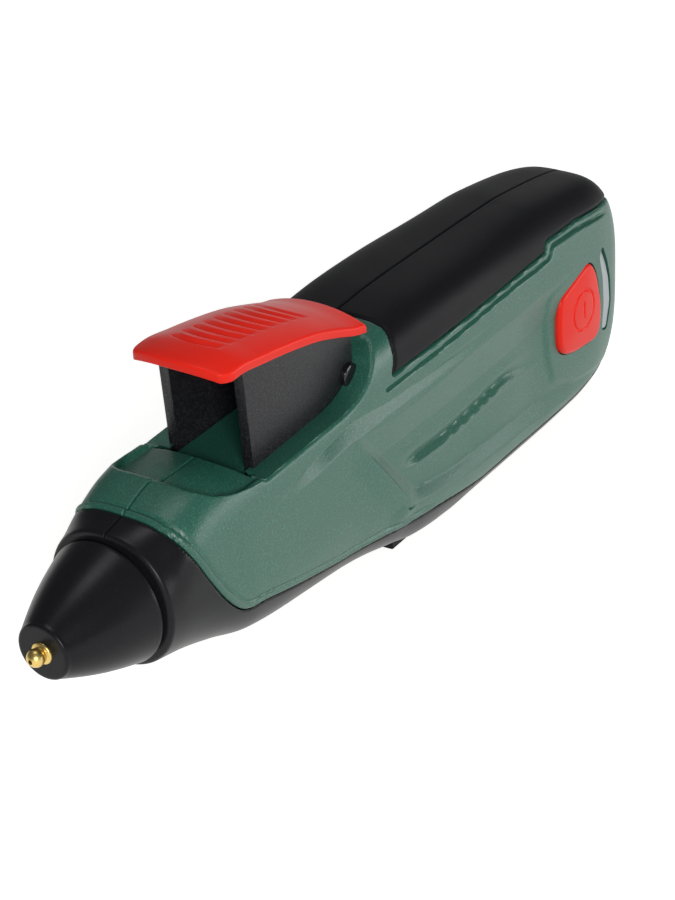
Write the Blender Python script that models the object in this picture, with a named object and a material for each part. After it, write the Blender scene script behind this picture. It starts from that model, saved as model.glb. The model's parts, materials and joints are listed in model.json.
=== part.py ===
"""Cordless hot-melt glue gun: a slim straight body with a finger lever on top.

Every length below is in millimetres. x runs along the glue axis from the nozzle tip to the rear face,
y is across (the button's side is -y) and z is height above the glue axis. Objects are written in metres
in a frame whose origin is the middle of the bounding box's underside.
"""
import math

import bmesh
import bpy
import numpy as np

# ------------------------------------------------------------------ driving dimensions
MM = 0.001
LENGTH = 195.0            # nozzle tip to rear face
AXIS_HEIGHT = 33.0        # glue axis above the surface that the tool lies on
GAP = 0.3                 # clearance between neighbouring pieces
WALL = 1.8                # housing wall
STICK_BORE_R = 4.1        # every bore that the stick runs in

# outer body: (x, value) stations that a smooth curve passes through
HALF_WIDTH = ((23.2, 13.9), (28, 14.1), (36, 14.3), (50, 15.0), (80, 15.3), (100, 16.0), (125, 16.3),
              (160, 16.3), (180, 15.6), (188, 14.6), (192, 13.4), (195, 11.6))
TOP = ((23.2, 13.9), (29, 15.1), (38, 17.9), (46, 18.6), (55, 19.0), (80, 19.6), (91, 24.3), (100, 24.8),
       (113, 25.3), (138, 24.9), (160, 24.3), (171, 23.2), (181, 21.8), (188, 20.4), (192, 18.8), (195, 15.8))
BOTTOM = ((23.2, -13.9), (30, -14.8), (40, -17.3), (50, -21.0), (60, -22.9), (70, -24.2), (80, -25.4),
          (90, -26.5), (100, -28.7), (108, -31.2), (117, -32.8), (126, -33.6), (176, -33.6), (184, -32.9),
          (188, -32.2), (192, -30.2), (195, -26.5))
# the underside is planed flat where this line runs below the surface that the tool lies on
WIDEST = ((23.2, 0.0), (40, -1.5), (60, -3.0), (195, -3.0))
ROUND_TOP = ((23.2, 2.0), (26, 2.3), (31, 3.3), (37, 4.0), (53, 5.0), (100, 5.6), (125, 5.3), (150, 4.2),
             (180, 3.8), (195, 3.2))
ROUND_BOTTOM = ((23.2, 2.0), (30, 2.2), (45, 2.7), (80, 2.8), (100, 3.4), (130, 3.0), (195, 3.0))
STATIONS = (23.2, 26, 29, 32, 35, 38.0, 41.2, 46, 53.3, 55, 66, 80, 90, 98, 105, 112, 120, 134, 150, 163, 174,
            183, 189, 192.5, 195)
AROUND = 12               # facets from the top seam to the bottom seam

# thumb deck in front of the lever well: where it starts at each half width, its crown and its side rim
DECK_START = ((0, 37.7), (6.8, 37.9), (11.0, 39.8), (12.9, 43.3), (13.9, 48.0), (14.6, 58.0))
DECK_CENTRE = 15.9
DECK_FALL = 2.3
DECK_SIDE = 11.6
DECK_RIM = 1.3

# parting lines in side view (x, z)
NOSE_LINE = ((28.6, 30), (28.8, 15), (30.2, 11), (34.0, 3.5), (39.0, -4.5), (43.3, -8.9), (46.8, -10.2),
             (50.0, -10.9), (63, -14.6), (77.5, -17.9), (98.5, -20.9), (114.5, -23.4), (131.5, -27.0),
             (153, -27.2), (176, -27.4), (189, -25.6), (200, -21.0))
GRIP_LINE = ((100.2, 40), (99.6, 24.4), (98.0, 21.7), (97.4, 18.7), (95.7, 15.7), (157.6, 16.3), (158.8, 18.2),
             (172.4, 17.5), (190, 14.9), (200, 12.5))
WELL_FRONT = 53.2
WELL_LINE = ((WELL_FRONT, 60), (WELL_FRONT, 13.4), (80.0, 14.4), (84.5, 15.4), (87.5, 17.0), (89.9, 19.2),
             (91.8, 22.0), (94.4, 24.2), (94.4, 60))

# finger lever
PIVOT_X = 88.5
PIVOT_Z = 18.3
PIN_R = 1.5
PLATE_IN = 7.65
PLATE_OUT = 9.85
PLATE_FRONT = 55.6
LEVER_TRAVEL = math.radians(22.0)
CAP_HALF = 11.2
CAP_THICK = 1.9
CAP_LINE = ((46.6, 36.6), (49.5, 38.8), (53.0, 39.4), (60, 38.3), (68, 36.8), (77, 34.8), (85, 32.2),
            (90, 30.4), (93.6, 29.5))

# feed carriage, driven by its trunnions in the plates' slots
TRUNNION_X = 78.0
TRUNNION_R = 1.3
FEED_TRAVEL = 5.0
CARRIAGE_HALF = 7.1

# battery
CELL_R = 9.1
CELL_LENGTH = 65.0
CELL_FRONT = 111.0
CELL_Z = -18.6

# power button and the board behind it
BUTTON_OUTLINE = ((161.9, -4.0), (162.3, -9.0), (164.4, -11.6), (169.0, -13.0), (178.6, -13.9),
                  (180.8, -11.6), (181.1, -5.4), (179.2, 1.8), (177.6, 4.8), (175.2, 6.6), (168.6, 4.6),
                  (164.3, 3.3), (162.4, 1.8))
BUTTON_TRAVEL = 0.8
BOARD_Y = -8.6
BOARD_THICK = 1.2

REAR_COVER_X = 192.4
INLET_R = 5.2
USB_Z = -12.6


# ------------------------------------------------------------------ curves and meshes
def smooth(x, knots):
    """Monotone cubic through the knots: each slope is the harmonic mean of its two neighbours' slopes."""
    kx, ky = np.array(knots, float).T
    step = np.diff(kx)
    slope = np.diff(ky) / step
    tangent = np.zeros_like(kx)
    same = slope[:-1] * slope[1:] > 0
    tangent[1:-1][same] = 2 * slope[:-1][same] * slope[1:][same] / (slope[:-1] + slope[1:])[same]
    tangent[0], tangent[-1] = slope[0], slope[-1]
    x = np.clip(np.asarray(x, float), kx[0], kx[-1])
    i = np.clip(np.searchsorted(kx, x, side="right") - 1, 0, len(step) - 1)
    t = (x - kx[i]) / step[i]
    return ((1 + 2 * t) * (1 - t) ** 2 * ky[i] + t * (1 - t) ** 2 * step[i] * tangent[i]
            + t * t * (3 - 2 * t) * ky[i + 1] + t * t * (t - 1) * step[i] * tangent[i + 1])


def ease(t):
    """0 to 1 with flat ends."""
    t = np.clip(t, 0.0, 1.0)
    return t * t * (3 - 2 * t)


def deck_drop(x, y, z, inset):
    """How far the thumb deck lies below the body's plain surface: a low crown between two raised rims."""
    deck = DECK_CENTRE - inset - DECK_FALL * (y / DECK_SIDE) ** 2 + DECK_RIM * ease((y - 11.9) / 1.7)
    share = ease((x - smooth(y, DECK_START)) / 3.4) * (1 - ease((x - WELL_FRONT - 0.1) / 1.7))
    return share * np.maximum(z - deck, 0)


def half_section(x, inset, count):
    """Points from the top seam to the bottom seam at station x: a super-ellipse with its own roundness
    above and below the widest line, spaced evenly along its length."""
    width = smooth(x, HALF_WIDTH) - inset
    middle = smooth(x, WIDEST)
    top = smooth(x, TOP) - inset - middle
    bottom = middle - (smooth(x, BOTTOM) + inset)
    angle = np.linspace(0, np.pi, 721)
    sine, cosine = np.sin(angle), np.cos(angle)
    power = np.where(cosine > 0, smooth(x, ROUND_TOP), smooth(x, ROUND_BOTTOM))
    reach = (np.abs(sine) ** power + np.abs(cosine) ** power) ** (-1 / power)
    y = width * reach * sine
    z = middle + np.where(cosine > 0, top, bottom) * reach * cosine
    along = np.concatenate(([0], np.cumsum(np.hypot(np.diff(y), np.diff(z)))))
    even = np.linspace(0, along[-1], count + 1)
    y, z = np.interp(even, along, y), np.interp(even, along, z)
    y[0] = y[-1] = 0.0
    return y, z - np.where(z > middle, deck_drop(x, y, z, inset), 0.0)


def side_reach(x, height):
    """Half width of the body at station x and this height."""
    y, z = half_section(x, 0.0, 240)
    return float(np.interp(height, z[::-1], y[::-1]))


def ring_section(x, inset, count):
    """Closed ring at station x, starting at the top and going round by the +y side."""
    y, z = half_section(x, inset, count)
    return np.concatenate((y, -y[-2:0:-1])), np.concatenate((z, z[-2:0:-1]))


def material(name, colour, roughness, metallic=0.0):
    """Plain Principled finish; colour is a linear RGB triple."""
    finish = bpy.data.materials.get(name) or bpy.data.materials.new(name)
    finish.use_nodes = True
    shader = finish.node_tree.nodes["Principled BSDF"]
    shader.inputs["Base Color"].default_value = (*colour, 1.0)
    shader.inputs["Roughness"].default_value = roughness
    shader.inputs["Metallic"].default_value = metallic
    return finish


def metres(points):
    """Millimetres from the nozzle tip to metres in the object frame."""
    points = np.asarray(points, float)
    return (points + np.array((-LENGTH / 2, 0.0, AXIS_HEIGHT))) * MM


def solid(name, points, faces, finish=None, origin=None):
    """Object from a closed mesh, its faces turned outwards; its origin is put at `origin`."""
    base = metres(origin) if origin is not None else np.zeros(3)
    mesh = bpy.data.meshes.new(name)
    mesh.from_pydata([tuple(p) for p in metres(points) - base], [], [tuple(f) for f in faces])
    work = bmesh.new()
    work.from_mesh(mesh)
    if work.calc_volume(signed=True) < 0:
        bmesh.ops.reverse_faces(work, faces=work.faces)
    work.to_mesh(mesh)
    work.free()
    thing = bpy.data.objects.new(name, mesh)
    thing.location = base
    bpy.context.collection.objects.link(thing)
    if finish:
        mesh.materials.append(finish)
    return thing


def soften(thing, degrees=35):
    """Shade the round faces smooth and keep the edges sharper than the angle."""
    thing.data.shade_smooth()
    thing.data.set_sharp_from_angle(angle=math.radians(degrees))
    return thing


def tube_faces(rings, count, closed_ends=True, first=0):
    """Quads between `rings` rings of `count` points that run forwards along the path."""
    faces = []
    for i in range(rings - 1):
        for j in range(count):
            a = first + i * count + j
            b = first + i * count + (j + 1) % count
            faces.append((a, b, b + count, a + count))
    if closed_ends:
        faces.append(tuple(first + j for j in reversed(range(count))))
        faces.append(tuple(first + (rings - 1) * count + j for j in range(count)))
    return faces


AXES = {"x": lambda a, r, c: (a, r * c[0], r * c[1]),
        "y": lambda a, r, c: (r * c[1], a, r * c[0]),
        "z": lambda a, r, c: (r * c[0], r * c[1], a)}


def turned(name, outline, centre, finish, axis="x", segments=24, origin=None):
    """Solid of revolution: `outline` is a closed loop of (along, radius) pairs with every radius above 0."""
    loops = []
    for k in range(segments):
        turn = 2 * math.pi * k / segments
        circle = (math.cos(turn), math.sin(turn))
        loops.append([np.add(centre, AXES[axis](a, r, circle)) for a, r in outline])
    points = [p for loop in loops for p in loop]
    area = sum(a0 * r1 - a1 * r0 for (a0, r0), (a1, r1) in zip(outline, outline[1:] + outline[:1]))
    n = len(outline)
    faces = []
    for k in range(segments):
        for i in range(n):
            a, b = k * n + i, k * n + (i + 1) % n
            c, d = ((k + 1) % segments) * n + (i + 1) % n, ((k + 1) % segments) * n + i
            faces.append((a, b, c, d) if area < 0 else (d, c, b, a))
    return soften(solid(name, points, faces, finish, origin))


def rod(name, profile, centre, finish, axis="x", segments=20, origin=None):
    """Turned solid without a bore: `profile` is (along, radius) pairs from one end to the other."""
    points, count = [], segments
    for a, r in profile:
        for k in range(count):
            turn = 2 * math.pi * k / count
            points.append(np.add(centre, AXES[axis](a, r, (math.cos(turn), math.sin(turn)))))
    faces = tube_faces(len(profile), count)
    if profile[-1][0] > profile[0][0]:
        faces = [tuple(reversed(f)) for f in faces]
    return soften(solid(name, points, faces, finish, origin))


def pipe_profile(x0, x1, outer, inner):
    """Closed outline of a plain pipe."""
    return [(x0, inner), (x0, outer), (x1, outer), (x1, inner)]


def box(name, low, high, finish=None, origin=None):
    """Axis-aligned block between two corners."""
    (x0, y0, z0), (x1, y1, z1) = low, high
    points = [(x, y, z) for x in (x0, x1) for y in (y0, y1) for z in (z0, z1)]
    faces = [(0, 1, 3, 2), (4, 6, 7, 5), (0, 4, 5, 1), (2, 3, 7, 6), (0, 2, 6, 4), (1, 5, 7, 3)]
    return solid(name, points, faces, finish, origin)


def plate(name, outline, low, high, finish=None, normal="y", origin=None):
    """Flat outline pushed from `low` to `high` along its normal. Outline pairs are (x, z), (x, y) or (y, z)."""
    place = {"y": lambda u, v, w: (u, w, v), "z": lambda u, v, w: (u, v, w), "x": lambda u, v, w: (w, u, v)}[normal]
    area = sum(u0 * v1 - u1 * v0 for (u0, v0), (u1, v1) in zip(outline, outline[1:] + outline[:1]))
    loop = list(outline) if (area > 0) != (normal == "y") else list(reversed(outline))
    n = len(loop)
    points = [place(u, v, w) for w in (low, high) for u, v in loop]
    faces = [tuple(reversed(range(n))), tuple(range(n, 2 * n))]
    faces += [(i, (i + 1) % n, n + (i + 1) % n, n + i) for i in range(n)]
    return solid(name, points, faces, finish, origin)


def cut(thing, tool, operation="DIFFERENCE"):
    """Add a live Boolean whose tool is kept only as a wire guide."""
    step = thing.modifiers.new(tool.name, "BOOLEAN")
    step.operation = operation
    step.object = tool
    tool.hide_render = True
    tool.display_type = "WIRE"
    return thing


def wire(name, route, radius, finish):
    """Insulated lead: a round tube along a smooth curve through the route's points."""
    line = bpy.data.curves.new(name, "CURVE")
    line.dimensions = "3D"
    line.bevel_depth = radius * MM
    line.bevel_resolution = 1
    line.use_fill_caps = True
    route = metres(route)
    reach = np.concatenate(([0], np.cumsum(np.linalg.norm(np.diff(route, axis=0), axis=1))))
    even = np.linspace(0, reach[-1], 12)
    path = np.stack([smooth(even, np.stack((reach, route[:, k]), 1)) for k in range(3)], 1)
    spline = line.splines.new("POLY")
    spline.points.add(len(path) - 1)
    for point, place in zip(spline.points, path):
        point.co = (*place, 1.0)
    thing = bpy.data.objects.new(name, line)
    bpy.context.collection.objects.link(thing)
    line.materials.append(finish)
    return thing


# ------------------------------------------------------------------ finishes
def finishes():
    """Plain colours of the pieces, linear RGB."""
    return {
        "green": material("green housing plastic", (0.018, 0.105, 0.062), 0.45),
        "black": material("black housing plastic", (0.012, 0.012, 0.014), 0.5),
        "grip": material("soft grip rubber", (0.010, 0.010, 0.011), 0.8),
        "red": material("red plastic", (0.72, 0.025, 0.018), 0.4),
        "brass": material("turned brass", (0.75, 0.50, 0.16), 0.25, 1.0),
        "steel": material("steel", (0.55, 0.55, 0.56), 0.35, 1.0),
        "aluminium": material("cast aluminium", (0.62, 0.63, 0.64), 0.4, 1.0),
        "ceramic": material("ceramic", (0.75, 0.72, 0.66), 0.7),
        "silicone": material("silicone rubber", (0.45, 0.10, 0.07), 0.6),
        "natural": material("natural nylon", (0.70, 0.67, 0.58), 0.5),
        "grey": material("frosted grey window", (0.30, 0.32, 0.33), 0.35),
        "board": material("circuit board", (0.012, 0.08, 0.03), 0.5),
        "cell": material("cell wrap", (0.06, 0.16, 0.42), 0.35),
        "led": material("indicator LED", (0.25, 0.85, 0.30), 0.3),
        "lead_red": material("red lead", (0.60, 0.02, 0.02), 0.5),
        "lead_black": material("black lead", (0.015, 0.015, 0.015), 0.5),
    }


# ------------------------------------------------------------------ housing
SCREWS = ((52.0, -16.0, "chassis"), (99.4, 9.2, "shell"), (104.0, -17.4, "shell"), (135.0, 9.4, "shell"),
          (188.0, 10.6, "shell"), (184.0, -22.0, "shell"))
BOSS_R = 2.7
HEAD_BOSS_R = 3.6
SCREW_R = 1.05
HEAD_R = 2.2
HEAD_SEAT_Y = 4.6


def moved(line, distance):
    """Parting line moved sideways by an even distance: positive is to the left of its direction of travel."""
    points = np.array(line, float)
    run = np.diff(points, axis=0)
    run /= np.linalg.norm(run, axis=1, keepdims=True)
    side = np.stack((-run[:, 1], run[:, 0]), 1)
    before, after = np.vstack((side[:1], side)), np.vstack((side, side[-1:]))
    normal = before + after
    normal /= np.linalg.norm(normal, axis=1, keepdims=True)
    miter = 1.0 / np.clip((normal * before).sum(1), 0.4, 1.0)
    return [(float(x), float(z)) for x, z in points + distance * miter[:, None] * normal]


def skin_rings(inset, stations, count=AROUND):
    """Rings of the outer body, `inset` below its surface."""
    points = []
    for x in stations:
        y, z = ring_section(x, inset, count)
        floor = -AXIS_HEIGHT + inset
        points += [(x, a, max(b, floor)) for a, b in zip(y, z)]
    return points


def housing_wall(name, finish):
    """The whole housing as one open-ended tube with a wall of even thickness."""
    outer = skin_rings(0.0, STATIONS)
    inner = skin_rings(WALL, STATIONS)
    count, rings = 2 * AROUND, len(STATIONS)
    faces = [tuple(reversed(f)) for f in tube_faces(rings, count, False)]
    faces += tube_faces(rings, count, False, len(outer))
    for j in range(count):
        k = (j + 1) % count
        last = (rings - 1) * count
        faces.append((j, k, len(outer) + k, len(outer) + j))
        faces.append((last + k, last + j, len(outer) + last + j, len(outer) + last + k))
    return soften(solid(name, outer + inner, faces, finish))


def side_band(side):
    """The y range of one half of the housing; side is -1 for left, 1 for right."""
    return (GAP / 2, 40.0) if side > 0 else (-40.0, -GAP / 2)


def housing_part(name, side, outline, finish):
    """One moulding: the part of the housing wall inside a side-view outline, on one side of the seam."""
    part = housing_wall(name, finish)
    region = plate(name + "_region", outline, *side_band(side))
    return cut(part, region, "INTERSECT")


def body_core(name, inset=0.2, finish=None):
    """Closed solid of the body's outside, a little smaller."""
    return solid(name, skin_rings(inset, STATIONS),
                 [tuple(reversed(f)) for f in tube_faces(len(STATIONS), 2 * AROUND)], finish)


def add_bosses(part, side, kind):
    """Screw bosses on the inner wall: plain sockets on the left, counterbored ones on the right."""
    for number, (x, z, home) in enumerate(SCREWS, 1):
        if home != kind:
            continue
        radius = HEAD_BOSS_R if side > 0 else BOSS_R
        reach = side * (min(side_reach(x, z - radius), side_reach(x, z + radius)) - WALL / 3)
        near = side * GAP / 2
        low, high = sorted((near, reach))
        guide = f"{part.name}_boss_{number}"
        cut(part, rod(guide, [(low, radius), (high, radius)], (x, 0, z), None, "y", 12), "UNION")
    for number, (x, z, home) in enumerate(SCREWS, 1):
        if home != kind:
            continue
        guide = f"{part.name}_hole_{number}"
        if side > 0:
            bore = [(-1, SCREW_R + GAP), (HEAD_SEAT_Y, SCREW_R + GAP), (HEAD_SEAT_Y, HEAD_R + GAP),
                    (30, HEAD_R + GAP)]
        else:
            bore = [(-8.0, SCREW_R + GAP), (1, SCREW_R + GAP)]
        cut(part, rod(guide, bore, (x, 0, z), None, "y", 12))


def grown(outline, distance):
    """Outline pushed outwards by a distance at each corner."""
    points = np.array(outline, float)
    back = points - np.roll(points, 1, 0)
    ahead = np.roll(points, -1, 0) - points
    back /= np.linalg.norm(back, axis=1, keepdims=True)
    ahead /= np.linalg.norm(ahead, axis=1, keepdims=True)
    turn = back + ahead
    normal = np.stack((turn[:, 1], -turn[:, 0]), 1)
    normal /= np.linalg.norm(normal, axis=1, keepdims=True)
    square = np.stack((back[:, 1], -back[:, 0]), 1)
    miter = 1.0 / np.clip((normal * square).sum(1), 0.5, 1.0)
    return [(float(u), float(v)) for u, v in points + distance * miter[:, None] * normal]


LIGHT_OUTLINE = ((182.5, -13.6), (185.5, -14.7), (187.4, -8.4), (186.9, -2.6), (185.3, 2.1), (182.6, 7.4),
                 (180.9, 5.4), (182.6, -0.5), (183.1, -6.5))


def housing(paint):
    """Green shells, black nose and belly, soft grip, each in two halves."""
    green_line, black_line = moved(NOSE_LINE, GAP / 2), moved(NOSE_LINE, -GAP / 2)
    under_grip, over_grip = moved(GRIP_LINE, -GAP / 2), moved(GRIP_LINE, GAP / 2)
    green = green_line + under_grip[::-1]
    black = [(10, 60)] + black_line + [(200, -60), (10, -60)]
    grip = over_grip + [(200, 60), (95.6, 60)]
    for side, word in ((-1, "left"), (1, "right")):
        shell = housing_part(f"shell_{word}", side, green, paint["green"])
        well = plate(f"shell_{word}_well", list(WELL_LINE), -30, 30)
        cut(shell, well)
        add_bosses(shell, side, "shell")
        if side < 0:
            cut(shell, plate("button_hole", grown(BUTTON_OUTLINE, GAP), -30, -12.0))
            cut(shell, plate("light_hole", grown(LIGHT_OUTLINE, GAP), -30, -8.0))
        chassis = housing_part(f"chassis_{word}", side, black, paint["black"])
        add_bosses(chassis, side, "chassis")
        housing_part(f"grip_{word}", side, grip, paint["grip"])


def rear_cover(paint):
    """End plate with the stick inlet and the charging slot."""
    stations = (REAR_COVER_X, REAR_COVER_X + 1.8)
    cover = solid("rear_cover", skin_rings(WALL + GAP, stations),
                  [tuple(reversed(f)) for f in tube_faces(2, 2 * AROUND)], paint["black"])
    cut(cover, rod("inlet_hole", [(180, INLET_R), (200, INLET_R)], (0, 0, 0), None, "x", 32))
    slot = grown([(-3.6, USB_Z - 1.0), (3.6, USB_Z - 1.0), (3.6, USB_Z + 1.0), (-3.6, USB_Z + 1.0)], 0.95)
    cut(cover, plate("charging_slot", slot, 180, 200, None, "x"))


def foot(paint):
    """Rubber foot under the middle of the belly, where the tool's weight is."""
    side = [(106.4, -AXIS_HEIGHT), (105.2, -32.2), (106.0, -31.2), (113.0, -32.65), (113.2, -AXIS_HEIGHT)]
    across = [(105.0, -5.0), (106.6, -6.6), (113.4, -6.6), (113.4, 6.6), (106.6, 6.6), (105.0, 5.0)]
    pad = plate("front_foot", side, -8.0, 8.0, paint["grip"])
    cut(pad, plate("foot_corners", across, -40.0, 0.0, None, "z"), "INTERSECT")


def screws(paint):
    """Housing screws, driven from the right."""
    for number, (x, z, _) in enumerate(SCREWS, 1):
        profile = [(-6.5, SCREW_R * 0.4), (-5.6, SCREW_R), (HEAD_SEAT_Y + GAP, SCREW_R),
                   (HEAD_SEAT_Y + GAP, HEAD_R), (HEAD_SEAT_Y + 1.2, HEAD_R), (HEAD_SEAT_Y + 1.7, HEAD_R * 0.75)]
        rod(f"shell_screw_{number}", profile, (x, 0, z), paint["steel"], "y", 8, (x, 0, z))


# ------------------------------------------------------------------ nose and heater
CONE_FACE_X = 3.6
CONE_FACE_R = 5.4
CONE_BASE_X = 22.6
CONE_BASE_R = 13.05


def nose(paint):
    """Heat guard cone and the brass nozzle that pokes out of it."""
    along = np.linspace(0, 1, 5)
    bulge = 0.55 * np.sin(np.pi * along)
    outside = [(CONE_FACE_X + 0.5 + (CONE_BASE_X - CONE_FACE_X - 0.5) * t,
                CONE_FACE_R + 0.3 + (CONE_BASE_R - CONE_FACE_R - 0.3) * t + b) for t, b in zip(along, bulge)]
    inside = [(x, r - 1.7) for x, r in outside[::-1] if x > CONE_FACE_X + 3]
    outline = [(CONE_FACE_X, 2.6), (CONE_FACE_X, CONE_FACE_R)] + outside
    outline += [(CONE_BASE_X, 11.7), (27.0, 11.7), (27.0, 10.4)] + inside + [(CONE_FACE_X + 2.2, 2.6)]
    turned("nozzle_cone", outline, (0, 0, 0), paint["black"], "x", 32)
    ball = [(1.85 - 1.75 * math.cos(a), 1.75 * math.sin(a)) for a in np.radians((25, 55, 90, 115))]
    outline = [(0.0, 0.5)] + ball + [(2.9, 1.6), (3.1, 2.0), (3.5, 2.25), (13.5, 2.25),
                                      (13.5, 1.2), (2.5, 1.2), (1.8, 0.5)]
    turned("nozzle", outline, (0, 0, 0), paint["brass"], "x", 16)


def heater(paint):
    """Melt barrel with its flat for the ceramic element, the clip that holds that, and the thermal cut-out."""
    barrel = turned("heater_barrel", [(13.8, 1.2), (13.8, 4.6), (15.0, 5.8), (54.0, 5.8), (54.0, 5.0), (58.0, 5.0),
                                      (58.0, STICK_BORE_R), (22.0, STICK_BORE_R), (16.0, 1.2)],
                    (0, 0, 0), paint["aluminium"], "x", 18)
    flat = box("barrel_flat", (27.0, -5.0, -7.0), (49.0, 5.0, -4.2))
    cut(barrel, flat, "UNION")
    turned("heat_sleeve", pipe_profile(16.0, 25.5, 6.9, 6.1), (0, 0, 0), paint["ceramic"], "x", 16)
    box("heater_element", (28.5, -4.6, -9.6), (47.5, 4.6, -7.3), paint["ceramic"])
    clip = [(-6.1, 3.5), (-6.1, -10.0), (6.1, -10.0), (6.1, 3.5), (6.7, 3.5), (6.7, -10.6), (-6.7, -10.6),
            (-6.7, 3.5)]
    plate("heater_clip", clip, 33.0, 43.0, paint["steel"], "x")
    rod("thermal_fuse", [(31, 0.5), (32, 1.3), (40, 1.3), (41, 0.5)], (0, 0, 7.5), paint["steel"], "x", 16)
    turned("inlet_sleeve", [(54.4, 5.3), (54.4, 6.6), (60.0, 6.6), (65.6, 5.6), (65.6, STICK_BORE_R),
                            (58.3, STICK_BORE_R), (58.3, 5.3)], (0, 0, 0), paint["silicone"], "x", 18)
    shield = [(53.5, 12.3), (55.0, 12.9), (82.5, 12.9), (83.4, 12.0), (83.4, 10.8), (53.5, 10.8)]
    plate("heat_shield", shield, -7.3, 7.3, paint["green"])


# ------------------------------------------------------------------ lever
def cap_height(x, y):
    """Top of the red cap: its line from front to back, drooping across towards both edges."""
    return smooth(x, CAP_LINE) - 2.1 * (np.abs(y) / CAP_HALF) ** 2.2


def cap_side(x):
    """Half width of the cap: rounded front corners and a slight flare at the back."""
    front = np.sqrt(np.clip(1 - np.clip((51.0 - x) / 4.6, 0, 1) ** 2, 0, 1))
    return (CAP_HALF - 2.6) + 2.6 * front + 0.3 * ease((x - 80) / 13)


def lever(paint):
    """Red cap on a black forked arm that hinges on a pin in the bracket behind it."""
    stations = np.concatenate((np.linspace(46.6, 51, 4), np.linspace(55, 93.6, 8)))
    across = np.linspace(-1, 1, 9)
    top, under = [], []
    for x in stations:
        y = across * cap_side(x)
        z = cap_height(x, y)
        top += [(x, a, b) for a, b in zip(y, z)]
        thin = CAP_THICK - 0.5 * np.abs(across) ** 3
        under += [(x, a, b - c) for a, b, c in zip(y * 0.985, z, thin)]
    n, m = len(stations), len(across)
    faces = []
    for i in range(n - 1):
        for j in range(m - 1):
            a, b, c, d = i * m + j, (i + 1) * m + j, (i + 1) * m + j + 1, i * m + j + 1
            faces += [(a, b, c, d), (n * m + d, n * m + c, n * m + b, n * m + a)]
    edge = [j for j in range(m)] + [i * m + m - 1 for i in range(1, n)]
    edge += [(n - 1) * m + j for j in range(m - 2, -1, -1)] + [i * m for i in range(n - 2, 0, -1)]
    for a, b in zip(edge, edge[1:] + edge[:1]):
        faces.append((a, b, n * m + b, n * m + a))
    pivot = (PIVOT_X, 0, PIVOT_Z)
    soften(solid("lever_cap", top + under, faces, paint["red"], pivot))

    middle = (PLATE_IN + PLATE_OUT) / 2
    crest = [(x, float(cap_height(x, middle)) - CAP_THICK - GAP) for x in (PLATE_FRONT - 0.6, 64, 73, 82, 90.4)]
    side = crest + [(90.4, 12.0), (84.6, 5.0), (82.0, -4.0), (73.5, -4.0), (65.0, 2.8), (61.0, 6.0),
                    (PLATE_FRONT + 1.0, 8.5)]
    arm = plate("lever_arm", side, PLATE_IN, PLATE_OUT, paint["black"], "y", pivot)
    cut(arm, plate("lever_arm_left", side, -PLATE_OUT, -PLATE_IN), "UNION")
    bridge = [(x, z - 0.3) for x, z in crest[:-1]] + [(x, z - 2.2) for x, z in crest[-2::-1]]
    cut(arm, plate("lever_bridge", bridge, -PLATE_IN - 0.8, PLATE_IN + 0.8), "UNION")
    cut(arm, rod("pivot_hole", [(-20, PIN_R + GAP), (20, PIN_R + GAP)], pivot, None, "y", 20))
    cut(arm, plate("drive_slot", drive_slot(), -20, 20))

    pin = [(-11.1, 0.9), (-10.9, 1.6), (-10.15, 2.0), (-10.15, PIN_R), (10.15, PIN_R), (10.15, 2.0), (10.9, 1.6),
           (11.1, 0.9)]
    rod("lever_pin", pin, pivot, paint["black"], "y", 20, pivot)
    hub = [(95.0, 7.4), (95.0, 22.4), (90.0, 21.6), (85.6, 20.6), (85.0, 16.4), (88.0, 14.2), (93.6, 12.4),
           (93.6, 7.4)]
    bracket = plate("lever_bracket", hub, -4.0, 4.0, paint["black"])
    cut(bracket, box("bracket_wall", (93.6, -11.0, 7.4), (95.0, 11.0, 20.6)), "UNION")
    cut(bracket, rod("bracket_hole", [(-20, PIN_R + GAP), (20, PIN_R + GAP)], pivot, None, "y", 20))
    coil("lever_spring", pivot, "y", 4.4, 7.2, 2.5, 0.35, 3, paint["steel"], lead=2.8)


def drive_slot():
    """Slot in the plates: the trunnion's path as the lever sees it, so that the feed is even over the
    lever's whole travel."""
    turn = np.linspace(-0.05, 1.05, 9) * LEVER_TRAVEL
    across = TRUNNION_X - FEED_TRAVEL * turn / LEVER_TRAVEL - PIVOT_X
    down = -PIVOT_Z
    path = np.stack((PIVOT_X + across * np.cos(turn) + down * np.sin(turn),
                     PIVOT_Z - across * np.sin(turn) + down * np.cos(turn)), 1)
    run = np.gradient(path, axis=0)
    run /= np.linalg.norm(run, axis=1, keepdims=True)
    normal = np.stack((-run[:, 1], run[:, 0]), 1) * (TRUNNION_R + 0.35)
    start = path[0] - run[0] * (TRUNNION_R + 0.1)
    end = path[-1] + run[-1] * (TRUNNION_R + 0.1)
    loop = list(path + normal) + [end] + list((path - normal)[::-1]) + [start]
    return [(float(u), float(v)) for u, v in loop]


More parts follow.
